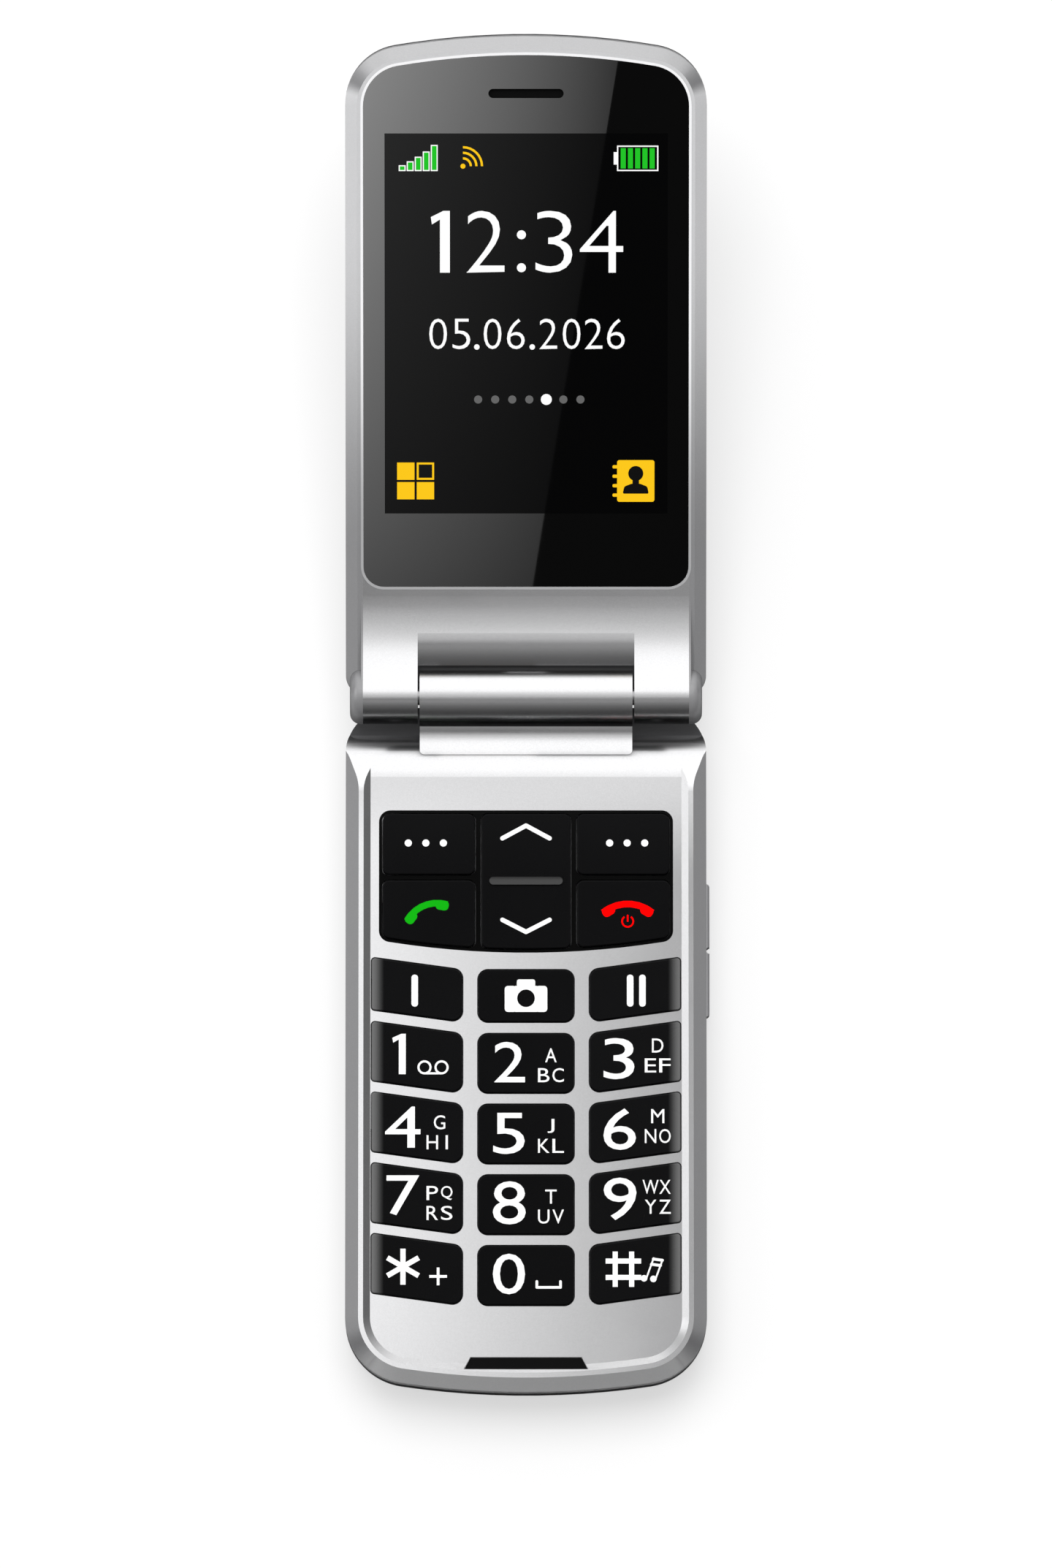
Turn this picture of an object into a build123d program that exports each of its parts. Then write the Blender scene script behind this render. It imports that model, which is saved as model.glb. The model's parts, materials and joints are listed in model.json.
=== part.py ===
from build123d import *

import os
from math import acos, asin, cos, degrees, radians, sin, sqrt, tan

# Flip phone, lying open on its back. The base rests on z = 0 with its foot towards -Y, and the
# lid rises from the hinge towards +Y. Millimetres. Each half is drawn in its own closing plane:
# x across the phone, y away from the hinge axis, z into the half's own depth.

# ---- Overall ----
BODY_WIDTH = 55.1
BASE_LENGTH = 106.4  # hinge axis to foot
LID_LENGTH = 101.1  # hinge axis to lid tip
BASE_DEPTH = 11.0  # closing plane to the back of the base
LID_DEPTH = 8.5  # closing plane to the outside of the lid
LID_RAISE = 15.0  # degrees the open lid stands above the base's plane
RIM_DEPTH = 0.2  # both rims stop this far short of the closing plane
FIT = 0.06  # gap between fixed pieces that touch
MOVING_GAP = 0.3  # gap between pieces that pass each other

# ---- Outlines ----
BASE_FOOT_RADIUS = 130.0
BASE_CORNER = 10.0
BASE_HINGE_CORNER = 7.0
LID_TIP_RADIUS = 120.0
LID_CORNER = 9.0
LID_HINGE_CORNER = 3.0
BASE_BEVEL = 2.0  # sloping edge round the face of the base
LID_BEVEL = 1.8
BACK_EDGE = 2.5  # rounding of the outer back edges
WALL = 1.6
BASE_PARTING = 5.0  # depth where the two base housings meet
LID_PARTING = 4.2

# ---- Hinge ----
KNUCKLE_RADIUS = 4.15
KNUCKLE_SIDE = 0.65  # side of the body to the outer end of a lid knuckle
KNUCKLE_END = 1.6  # rounding of a knuckle's outer end
LOBE_SIDE = 2.35  # side of the body to the sweep that runs up to a knuckle
LOBE_LENGTH = 15.5  # where the sweep leaves the lid's face
BARREL_RADIUS = 4.5
BARREL_MARGIN = 11.3  # side of the body to the end of the barrel
BARREL_BORE = 3.4
PIN_RADIUS = 1.25
PIN_CLEARANCE = 0.05
PIN_MARGIN = 6.05  # side of the body to the outer end of a pin
RECESS_LENGTH = 9.9  # where the lid's face starts to roll over towards the barrel
RECESS_RADIUS = 8.5
RECESS_TILT = 22.0  # slope at which the roll ends in front of the barrel
LID_EDGE_RADIUS = 3.4  # rounding of the lid's edge beside the knuckles
SHOULDER_CREST = 12.2  # where the base's face starts to roll over towards the hinge
SHOULDER_RADIUS = 8.0
RIM_JOIN_TILT = 20.0  # slope at which the side rims grow out of the shoulder
TONGUE_REACH = 8.7
TONGUE_RISE = 0.5  # how far the tongue stands above the shoulder
TONGUE_SWEEP = 6.0
TONGUE_CORNER = 0.7
TONGUE_BLEND = 3.0  # the tongue's upper side runs into the barrel before this
LEDGE_START = 1.0  # the rear housing reaches this close under the hinge axis

# ---- Keypad face ----
PLATE_DEPTH = 1.0
PLATE_THICKNESS = 1.2
RIM_INNER = 2.75  # outer edge to the top of the rim's inner slope
POCKET_INSET = 3.8  # outer edge to the keypad face
KEY_DEPTH = 0.6  # key tops lie this far below the closing plane
KEY_TRAVEL = 0.3
MEMORY_KEY_HEIGHT = 8.0
KEY_BRIDGE = 1.73  # face left between two rows
FIRST_ROW = 51.7
KEYPAD_FOOT = 13.11  # last row to the foot
MEMORY_ROW = 41.9
MIDDLE_KEY_WIDTH = 14.6
SIDE_KEY_INNER = 9.7
SIDE_KEY_MARGIN = 4.0  # side of the body to the side keys
SIDE_KEY_RISE = 1.9  # the outer ends of the side keys lie this much nearer the hinge
KEY_CORNER = 1.5
KEY_OUTER_CORNER = 0.5
KEY_GAP = 0.15
KEY_EDGE = 0.2
SIDE_ROLL_WIDTH = 1.8
SIDE_ROLL_DROP = 0.35

# ---- Navigation keys ----
NAV_MARGIN = 5.15  # side of the body to the navigation panel
NAV_TOP = 17.4
NAV_SIDE_BOTTOM = 37.3
NAV_BOTTOM = 39.2
NAV_CORNER = 1.7
NAV_BORDER = 0.5
NAV_SPLIT = 27.7  # middle of the gap between the upper and the lower side keys
NAV_SPLIT_GAP = 0.9
NAV_ROCKER_HALF = 6.8
NAV_SIDE_START = 7.8
NAV_KEY_CORNER = 1.0
RIDGE_HALF = 5.6
RIDGE_WIDTH = 1.0
RIDGE_HEIGHT = 0.25

# ---- Finger notch ----
NOTCH_FOOT = 3.3  # lower side of the notch to the foot
NOTCH_LENGTH = 1.9
NOTCH_TOP_HALF = 8.5
NOTCH_BOTTOM_HALF = 9.5
NOTCH_FLOOR = 1.8
NOTCH_PAD = 0.5

# ---- Inside the base ----
MAT_THICKNESS = 0.4
DOME_THICKNESS = 0.2
DOME_RADIUS = 2.5
BOARD_THICKNESS = 0.8
BOARD_MARGIN = 8.35  # side of the body to the board
BOARD_START = 14.5
BOARD_FOOT = 5.4
BAY_FLOOR = 0.6
BATTERY_MARGIN = 8.55  # side of the body to the battery
BATTERY_START = 38.0
BATTERY_END_WALL = 2.0  # battery to the cell at the foot
BATTERY_THICKNESS = 4.1
BAY_GAP = 0.3
COVER_THICKNESS = 1.0
COVER_MARGIN = 5.05  # side of the body to the battery cover's seat
COVER_START = 34.0
COVER_RUN = 0.1  # clearance of the sliding cover
GRIP_GROOVES = 5
GRIP_PITCH = 2.2
GRIP_LENGTH = 16.0
GRIP_WIDTH = 1.0
GRIP_DEPTH = 0.3
HINGE_SCREWS = (7.55, 11.5)  # from the side of the body and from the hinge axis
FOOT_SCREWS = (6.55, 12.2)  # from the side of the body and from the foot
SCREW_SHANK = 0.7
SCREW_HEAD = 1.35
SCREW_HEAD_HEIGHT = 0.8
SCREW_LENGTH = 6.6
BOSS_RADIUS = 1.6
CHANNEL_WALL = 1.3  # between the battery's bay and the cells beside it
CHANNEL_START = 42.5
CHANNEL_FOOT = 17.4
CELL_START = 9.5
CELL_END = 33.0
CELL_FLOOR = 1.2
FOOT_CELL_LENGTH = 8.4
FOOT_CELL_FOOT = 4.0
FOOT_CELL_MARGIN = 9.55

# Components: width, length and depth. Places are distances from the hinge axis, unless named.
CONTACT_BLOCK = (8.0, 2.4, 2.4)
CONTACT_BLADE = 1.25
CONTACT_PITCH = 2.5
SPEAKER_SIZE = (15.0, 11.0, 3.4)
MOTOR_RADIUS = 4.0
MOTOR_HEIGHT = 2.7
MOTOR_MIDDLE = 24.5
MOTOR_MARGIN = 11.05
CANS = ((-1, 11.0, 14.0, 23.0), (1, 11.0, 10.0, 25.4))  # side, width, length and middle
CAN_MARGIN = 14.05
CAN_HEIGHT = 2.0
SIM_LENGTH = 13.0
SIM_THICKNESS = 1.4
SIM_SLOT = 0.7
SIM_ROOF = 0.35
SIM_RAIL = 1.2
SIM_MIDDLE = 24.0
SIM_MARGIN = 2.35  # wall of the cell to the reader
SIM_GAP = 1.5  # reader to the loudspeaker
MICROPHONE_RADIUS = 2.0
MICROPHONE_HEIGHT = 1.2
MICROPHONE_OFFSET = 8.0
MICROPHONE_FOOT = 8.4
ANTENNA_MARGIN = 2.0  # wall of the cell to the antenna
ANTENNA_LENGTH = 6.0
ANTENNA_THICKNESS = 1.7
PAD_SIZE = (2.4, 0.6, 2.2)
PAD_OFFSET = 3.5
PAD_DEPTH = 6.1
PAD_POCKET = 1.8
CARTRIDGE_START = 1.5
FLANGE_LENGTH = 3.0
FLEX_RADIUS = 2.7
FLEX_WALL = 0.3
SWITCH_THICKNESS = 0.3

# ---- Sockets and side keys ----
VOLUME_START = 28.1
VOLUME_END = 48.5
VOLUME_PROUD = 0.5
VOLUME_DEPTH = 5.9  # nearer edge of the volume key, below the closing plane
VOLUME_HEIGHT = 2.8
USB_MIDDLE = 62.0
USB_WIDTH = 7.4
USB_HEIGHT = 2.5
USB_LENGTH = 5.2
USB_WALL = 0.3
USB_BACK = 1.0
GRILLE_SLOTS = 5
GRILLE_PITCH = 2.2
GRILLE_LENGTH = 9.0
GRILLE_WIDTH = 1.0
GRILLE_MIDDLE = 21.0

# ---- Display ----
WINDOW_INSET = 2.7
WINDOW_THICKNESS = 1.0
WINDOW_START = 16.9
WINDOW_CORNER = 3.15
WINDOW_LEDGE = 1.6
SCREEN_RISE = 11.3  # lower edge of the window to the lit area
SCREEN_TIP = 14.7  # lit area to the lid's tip
SCREEN_SIDE = 0.65  # module to the opening in the housing
SCREEN_MARGIN = 1.0
SCREEN_FOOT = 5.0
SCREEN_THICKNESS = 2.2
EAR_TIP = 8.6  # middle of the earpiece slot to the lid's tip
EAR_WIDTH = 11.45
EAR_HEIGHT = 1.4

# ---- Outside of the lid ----
OUTER_CROWN_HINGE = 14.0  # the outside slopes down from here to the hinge
OUTER_HINGE_DEPTH = 5.9
OUTER_CROWN_TIP = 16.0
OUTER_TIP_DROP = 1.2
OUTER_WINDOW = (33.0, 31.0)
OUTER_WINDOW_TIP = 41.1  # middle of the outer window to the lid's tip
OUTER_WINDOW_CORNER = 4.0
OUTER_GLASS = 0.9
OUTER_SCREEN = 26.0
CAMERA_TIP = 15.1
CAMERA_RING = 4.6
CAMERA_PROUD = 0.3
TORCH_OFFSET = 10.0
TORCH_RADIUS = 1.8
CAMERA_LENS = 3.2
CAMERA_GLASS = 0.3
CAMERA_BODY = (8.6, 8.6, 2.4)
OUTER_SCREEN_THICKNESS = 1.6
LID_BOARD_THICKNESS = 0.7
LID_BOARD_GAP = 0.85
LID_WALL = 1.2
LID_LOWER_SCREWS = (7.25, 21.0)  # from the side of the body and from the hinge axis
LID_UPPER_SCREWS = (13.55, 7.7)  # from the side of the body and from the lid's tip
LID_SCREW_HEAD = 1.1
LID_SCREW_LENGTH = 3.2
MAGNET_SIZE = (6.0, 3.0, 1.6)
MAGNET_MIDDLE = 12.6
EARPIECE_SIZE = (12.0, 4.0, 2.0)

# ---- Worked-out places ----
raise_angle = radians(LID_RAISE)
axis_y = (BASE_LENGTH - LID_LENGTH * cos(raise_angle) - LID_PARTING * sin(raise_angle)) / 2
HINGE = (0, axis_y, BASE_DEPTH)
base_face = Plane(origin=HINGE, x_dir=(1, 0, 0), z_dir=(0, 0, -1))
base_side = Plane(origin=HINGE, x_dir=(0, -1, 0), z_dir=(1, 0, 0))
base_front = Plane(origin=HINGE, x_dir=(1, 0, 0), z_dir=(0, 1, 0))
lid_face = Plane(
    origin=HINGE, x_dir=(-1, 0, 0), z_dir=(0, sin(raise_angle), -cos(raise_angle))
)
lid_side = Plane(
    origin=HINGE, x_dir=(0, cos(raise_angle), sin(raise_angle)), z_dir=(-1, 0, 0)
)
lid_axis = Axis(HINGE, lid_face.z_dir)
half_width = BODY_WIDTH / 2
knuckle_reach = half_width - KNUCKLE_SIDE
lobe_reach = half_width - LOBE_SIDE
side_key_outer = half_width - SIDE_KEY_MARGIN
nav_half = half_width - NAV_MARGIN
notch_bottom = BASE_LENGTH - NOTCH_FOOT
notch_top = notch_bottom - NOTCH_LENGTH
plate_back = PLATE_DEPTH + PLATE_THICKNESS
key_back = plate_back + KEY_GAP
mat_top = key_back + KEY_TRAVEL + FIT
dome_top = mat_top + MAT_THICKNESS + FIT
board_top = dome_top + DOME_THICKNESS + FIT
board_back = board_top + BOARD_THICKNESS
rear_top = BASE_PARTING + FIT
bay_top = rear_top + BAY_FLOOR
cover_seat = BASE_DEPTH - COVER_THICKNESS
cell_floor = BASE_DEPTH - CELL_FLOOR
channel_floor = cover_seat - CELL_FLOOR
barrel_half = half_width - BARREL_MARGIN
pin_reach = half_width - PIN_MARGIN
lobe_start = barrel_half + MOVING_GAP
barrel_clear = BARREL_RADIUS + MOVING_GAP
window_back = RIM_DEPTH + FIT + WINDOW_THICKNESS
screen_top = window_back + 2 * FIT
screen_back = screen_top + SCREEN_THICKNESS
lid_board_top = screen_back + FIT
lid_board_back = lid_board_top + LID_BOARD_THICKNESS
cover_top = LID_PARTING + FIT
outer_glass_seat = LID_DEPTH - OUTER_GLASS
lid_cell_floor = LID_DEPTH - LID_WALL
cell_half = half_width - 2 * WALL
channel_outer = half_width - WALL
board_half = half_width - BOARD_MARGIN
board_end = BASE_LENGTH - BOARD_FOOT
board_middle = (BOARD_START + board_end) / 2
foot_cell_end = BASE_LENGTH - FOOT_CELL_FOOT
foot_cell_start = foot_cell_end - FOOT_CELL_LENGTH
foot_cell_middle = (foot_cell_start + foot_cell_end) / 2
foot_cell_half = half_width - FOOT_CELL_MARGIN
battery_half = half_width - BATTERY_MARGIN
battery_length = foot_cell_start - BATTERY_END_WALL - BATTERY_START
battery_middle = BATTERY_START + battery_length / 2
channel_inner = battery_half + BAY_GAP + CHANNEL_WALL
channel_end = BASE_LENGTH - CHANNEL_FOOT
cover_half = half_width - COVER_MARGIN
sim_start = SPEAKER_SIZE[0] / 2 + SIM_GAP
sim_width = cell_half - SIM_MARGIN - sim_start
screws = [(side * (half_width - HINGE_SCREWS[0]), HINGE_SCREWS[1]) for side in (-1, 1)]
screws += [(side * (half_width - FOOT_SCREWS[0]), BASE_LENGTH - FOOT_SCREWS[1]) for side in (-1, 1)]
screen_start = WINDOW_START + SCREEN_RISE
screen_end = LID_LENGTH - SCREEN_TIP
module_half = half_width - WINDOW_INSET - WINDOW_LEDGE - SCREEN_SIDE
module_start = screen_start - SCREEN_FOOT
module_end = screen_end + SCREEN_MARGIN
ear_middle = LID_LENGTH - EAR_TIP
outer_window_middle = LID_LENGTH - OUTER_WINDOW_TIP
camera_middle = LID_LENGTH - CAMERA_TIP
lid_screw_places = [
    (side * (half_width - LID_LOWER_SCREWS[0]), LID_LOWER_SCREWS[1]) for side in (-1, 1)
]
lid_screw_places += [
    (side * (half_width - LID_UPPER_SCREWS[0]), LID_LENGTH - LID_UPPER_SCREWS[1])
    for side in (-1, 1)
]
slot_middle = (VOLUME_START + VOLUME_END) / 2
slot_reach = 2 * WALL
outside = 5.0  # how far a cutting shape runs past the surface it cuts

os.makedirs("parts", exist_ok=True)


def write(part, name):
    """Labels a finished piece and writes it under the same name."""
    part.label = name
    export_step(part, f"parts/{name}.step")


def half_outline(length, tip_radius, corner, inset, start, start_corner):
    """Outline of one half, from the line y = start to its arched far end."""
    half = half_width - inset
    reach = length - inset
    radius = tip_radius - inset
    side_end = reach - radius + sqrt(radius**2 - half**2)
    with BuildSketch() as outline:
        with BuildLine():
            Polyline((-half, side_end), (-half, start), (half, start), (half, side_end))
            ThreePointArc((half, side_end), (0, reach), (-half, side_end))
        make_face()
        fillet(outline.vertices().sort_by(Axis.Y)[-2:], corner - inset)
        if start_corner:
            fillet(outline.vertices().sort_by(Axis.Y)[:2], start_corner)
    return outline.sketch


def base_outline(inset=0.0, start=LEDGE_START, start_corner=BASE_HINGE_CORNER):
    """Outline of the base, moved in by inset."""
    return half_outline(BASE_LENGTH, BASE_FOOT_RADIUS, BASE_CORNER, inset, start, start_corner)


def lid_outline(inset=0.0, start=0.0, start_corner=LID_HINGE_CORNER):
    """Outline of the lid, moved in by inset."""
    return half_outline(LID_LENGTH, LID_TIP_RADIUS, LID_CORNER, inset, start, start_corner)


def shoulder_point(tilt, lift=0.0):
    """Point of the base's shoulder where its surface slopes by tilt degrees."""
    radius = SHOULDER_RADIUS + lift
    drop = radius * cos(radians(tilt))
    return (
        SHOULDER_CREST - radius * sin(radians(tilt)),
        PLATE_DEPTH + SHOULDER_RADIUS - drop,
    )


def shoulder_tilt(depth, lift=0.0):
    """Slope of the shoulder, in degrees, where it is this deep."""
    return degrees(acos((PLATE_DEPTH + SHOULDER_RADIUS - depth) / (SHOULDER_RADIUS + lift)))


def shoulder_arc(tilt_from, tilt_to, lift=0.0):
    """Arc along the shoulder between two slopes."""
    ThreePointArc(
        shoulder_point(tilt_from, lift),
        shoulder_point((tilt_from + tilt_to) / 2, lift),
        shoulder_point(tilt_to, lift),
    )


def key_outline(column, top, height):
    """Outline of a keypad key. Column -1, 0 or 1; the side keys lean up towards the edges."""
    inner, outer = column * SIDE_KEY_INNER, column * side_key_outer
    rise = top - SIDE_KEY_RISE
    with BuildSketch() as outline:
        if column == 0:
            with Locations((0, top + height / 2)):
                RectangleRounded(MIDDLE_KEY_WIDTH, height, KEY_CORNER)
        else:
            with BuildLine():
                Polyline(
                    (inner, top),
                    (outer, rise),
                    (outer, rise + height),
                    (inner, top + height),
                    close=True,
                )
            make_face()
            by_side = outline.vertices().sort_by(lambda corner: abs(corner.X))
            fillet(by_side[2:], KEY_OUTER_CORNER)
            by_side = outline.vertices().sort_by(lambda corner: abs(corner.X))
            fillet(by_side[:2], KEY_CORNER)
    return outline.sketch


def nav_arc(x, inset=0.0):
    """Lower edge of the navigation panel at x, moved in by inset."""
    sagitta = NAV_BOTTOM - NAV_SIDE_BOTTOM
    radius = (nav_half**2 + sagitta**2) / (2 * sagitta)
    return NAV_BOTTOM - radius + sqrt((radius - inset) ** 2 - x**2)


def nav_panel_outline(inset=0.0):
    """Outline of the navigation panel, with its arched lower edge."""
    half = nav_half - inset
    low = nav_arc(half, inset)
    with BuildSketch() as outline:
        with BuildLine():
            Polyline((-half, low), (-half, NAV_TOP + inset), (half, NAV_TOP + inset), (half, low))
            ThreePointArc((half, low), (0, nav_arc(0, inset)), (-half, low))
        make_face()
        fillet(outline.vertices(), NAV_CORNER - inset)
    return outline.sketch


def nav_key_outline(column, row):
    """Outline of a navigation key: the rocker in column 0, else row 0 is the upper key."""
    split = NAV_SPLIT_GAP / 2
    top = (NAV_TOP, NAV_SPLIT + split)[row]
    bottom = (NAV_SPLIT - split, NAV_BOTTOM)[row]
    width = nav_half - NAV_SIDE_START
    with BuildSketch() as outline:
        add(nav_panel_outline(NAV_BORDER))
        if column == 0:
            with Locations((0, (NAV_TOP + NAV_BOTTOM) / 2)):
                Rectangle(2 * NAV_ROCKER_HALF, NAV_BOTTOM - NAV_TOP + outside, mode=Mode.INTERSECT)
        else:
            with Locations((column * (NAV_SIDE_START + width / 2), (top + bottom) / 2)):
                Rectangle(width, bottom - top, mode=Mode.INTERSECT)
        sharp = [
            corner
            for corner in outline.vertices()
            if abs(corner.X) < nav_half - 2 * NAV_CORNER or abs(corner.Y - NAV_SPLIT) < NAV_SPLIT_GAP
        ]
        fillet(sharp, NAV_KEY_CORNER)
    return outline.sketch


def side_roll(side):
    """Wedge that slopes the outer end of a side key down towards the rim."""
    start = side_key_outer - SIDE_ROLL_WIDTH
    fall = KEY_DEPTH + 2 * SIDE_ROLL_DROP
    reach = start + 2 * SIDE_ROLL_WIDTH
    with BuildPart() as wedge:
        with BuildSketch(base_front):
            with BuildLine():
                Polyline(
                    (side * start, KEY_DEPTH),
                    (side * reach, fall),
                    (side * reach, -RIM_DEPTH),
                    (side * start, -RIM_DEPTH),
                    close=True,
                )
            make_face()
        extrude(amount=BASE_LENGTH, both=True)
    return wedge.part


def upper_edges(key):
    """Edges round the faces that a finger presses."""
    return key.faces().filter_by(lambda face: face.normal_at().Z > cos(radians(45))).edges()


# Every key: name, drawing function and its arguments.
KEYPAD = [
    ("memory_one_key", key_outline, (-1, MEMORY_ROW, MEMORY_KEY_HEIGHT)),
    ("camera_key", key_outline, (0, MEMORY_ROW, MEMORY_KEY_HEIGHT)),
    ("memory_two_key", key_outline, (1, MEMORY_ROW, MEMORY_KEY_HEIGHT)),
]
KEY_ROWS = (("1", "2", "3"), ("4", "5", "6"), ("7", "8", "9"), ("star", "0", "hash"))
row_pitch = (BASE_LENGTH - KEYPAD_FOOT + KEY_BRIDGE - FIRST_ROW) / len(KEY_ROWS)
key_height = row_pitch - KEY_BRIDGE
for row, names in enumerate(KEY_ROWS):
    row_top = FIRST_ROW + row * row_pitch
    for column, name in zip((-1, 0, 1), names):
        KEYPAD.append((f"key_{name}", key_outline, (column, row_top, key_height)))
NAV_KEYS = [
    ("soft_left_key", nav_key_outline, (-1, 0)),
    ("soft_right_key", nav_key_outline, (1, 0)),
    ("call_key", nav_key_outline, (-1, 1)),
    ("end_key", nav_key_outline, (1, 1)),
    ("nav_rocker", nav_key_outline, (0, 0)),
]


# ---- Base housings ----
# Block of the front housing: straight walls below, sloping walls up to the face.
with BuildPart() as base_block:
    with BuildSketch(base_face.offset(BASE_BEVEL + RIM_DEPTH)):
        add(base_outline())
    extrude(amount=BASE_PARTING - BASE_BEVEL - RIM_DEPTH)
    with BuildSketch(base_face.offset(RIM_DEPTH)):
        add(base_outline(inset=BASE_BEVEL))
    with BuildSketch(base_face.offset(BASE_BEVEL + RIM_DEPTH)):
        add(base_outline())
    loft(ruled=True)

# Space above the keypad face, between the sloping inner sides of the rim.
with BuildPart() as key_pocket:
    with BuildSketch(base_face.offset(RIM_DEPTH)):
        add(base_outline(inset=RIM_INNER, start=0, start_corner=0))
    with BuildSketch(base_face.offset(PLATE_DEPTH)):
        add(base_outline(inset=POCKET_INSET, start=0, start_corner=0))
    loft(ruled=True)
    with BuildSketch(base_face.offset(PLATE_DEPTH)):
        add(base_outline(inset=POCKET_INSET, start=0, start_corner=0))
    extrude(amount=PLATE_THICKNESS)
    with BuildSketch(base_side):
        with BuildLine():
            shoulder_arc(RIM_JOIN_TILT, 0)
            Polyline(
                shoulder_point(0),
                (BASE_LENGTH, PLATE_DEPTH),
                (BASE_LENGTH, -RIM_DEPTH),
                (shoulder_point(RIM_JOIN_TILT)[0], -RIM_DEPTH),
                shoulder_point(RIM_JOIN_TILT),
            )
        make_face()
    extrude(amount=half_width, both=True, mode=Mode.INTERSECT)

shoulder_end = shoulder_tilt(BASE_PARTING)
rim_join = shoulder_point(RIM_JOIN_TILT)
rim_start = rim_join[0] + (rim_join[1] - RIM_DEPTH) / tan(radians(RIM_JOIN_TILT))
with BuildPart() as front_housing:
    with BuildSketch(base_side):
        with BuildLine():
            shoulder_arc(shoulder_end, RIM_JOIN_TILT)
            Polyline(
                rim_join,
                (rim_start, RIM_DEPTH),
                (BASE_LENGTH, RIM_DEPTH),
                (BASE_LENGTH, BASE_PARTING),
                shoulder_point(shoulder_end),
            )
        make_face()
        fillet(vertices().sort_by_distance((rim_start, RIM_DEPTH))[0], SHOULDER_RADIUS)
    extrude(amount=half_width, both=True)
    add(base_block.part, mode=Mode.INTERSECT)
    add(key_pocket.part, mode=Mode.SUBTRACT)
    # Inside space under the keypad face.
    with BuildSketch(base_face.offset(plate_back)):
        add(base_outline(inset=RIM_INNER + FIT, start=SHOULDER_CREST, start_corner=NAV_CORNER))
    extrude(amount=BASE_PARTING - plate_back, mode=Mode.SUBTRACT)
    # Openings for the keys and the navigation panel.
    for name, draw, place in KEYPAD:
        with BuildSketch(base_face):
            add(draw(*place))
            offset(amount=KEY_GAP)
        extrude(amount=BASE_PARTING, mode=Mode.SUBTRACT)
    with BuildSketch(base_face):
        add(nav_panel_outline(-FIT))
    extrude(amount=BASE_PARTING, mode=Mode.SUBTRACT)
    # Screw bosses.
    with BuildSketch(base_face.offset(plate_back)):
        with Locations(*screws):
            Circle(BOSS_RADIUS)
    extrude(amount=BASE_PARTING - plate_back)
    with BuildSketch(base_face.offset(plate_back + FIT)):
        with Locations(*screws):
            Circle(SCREW_SHANK + FIT)
    extrude(amount=BASE_PARTING, mode=Mode.SUBTRACT)
    # Finger notch at the foot.
    with BuildSketch(base_face):
        with BuildLine():
            Polyline(
                (-NOTCH_TOP_HALF, notch_top),
                (NOTCH_TOP_HALF, notch_top),
                (NOTCH_BOTTOM_HALF, notch_bottom),
                (-NOTCH_BOTTOM_HALF, notch_bottom),
                close=True,
            )
        make_face()
    extrude(amount=NOTCH_FLOOR, mode=Mode.SUBTRACT)
write(front_housing.part, "front_housing")

# Outer block of the rear housing and the battery cover together.
with BuildPart() as rear_block:
    with BuildSketch(base_face.offset(rear_top)):
        add(base_outline())
    extrude(amount=BASE_DEPTH - rear_top)
    fillet(faces().sort_by(Axis.Z)[0].edges(), BACK_EDGE)

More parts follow.
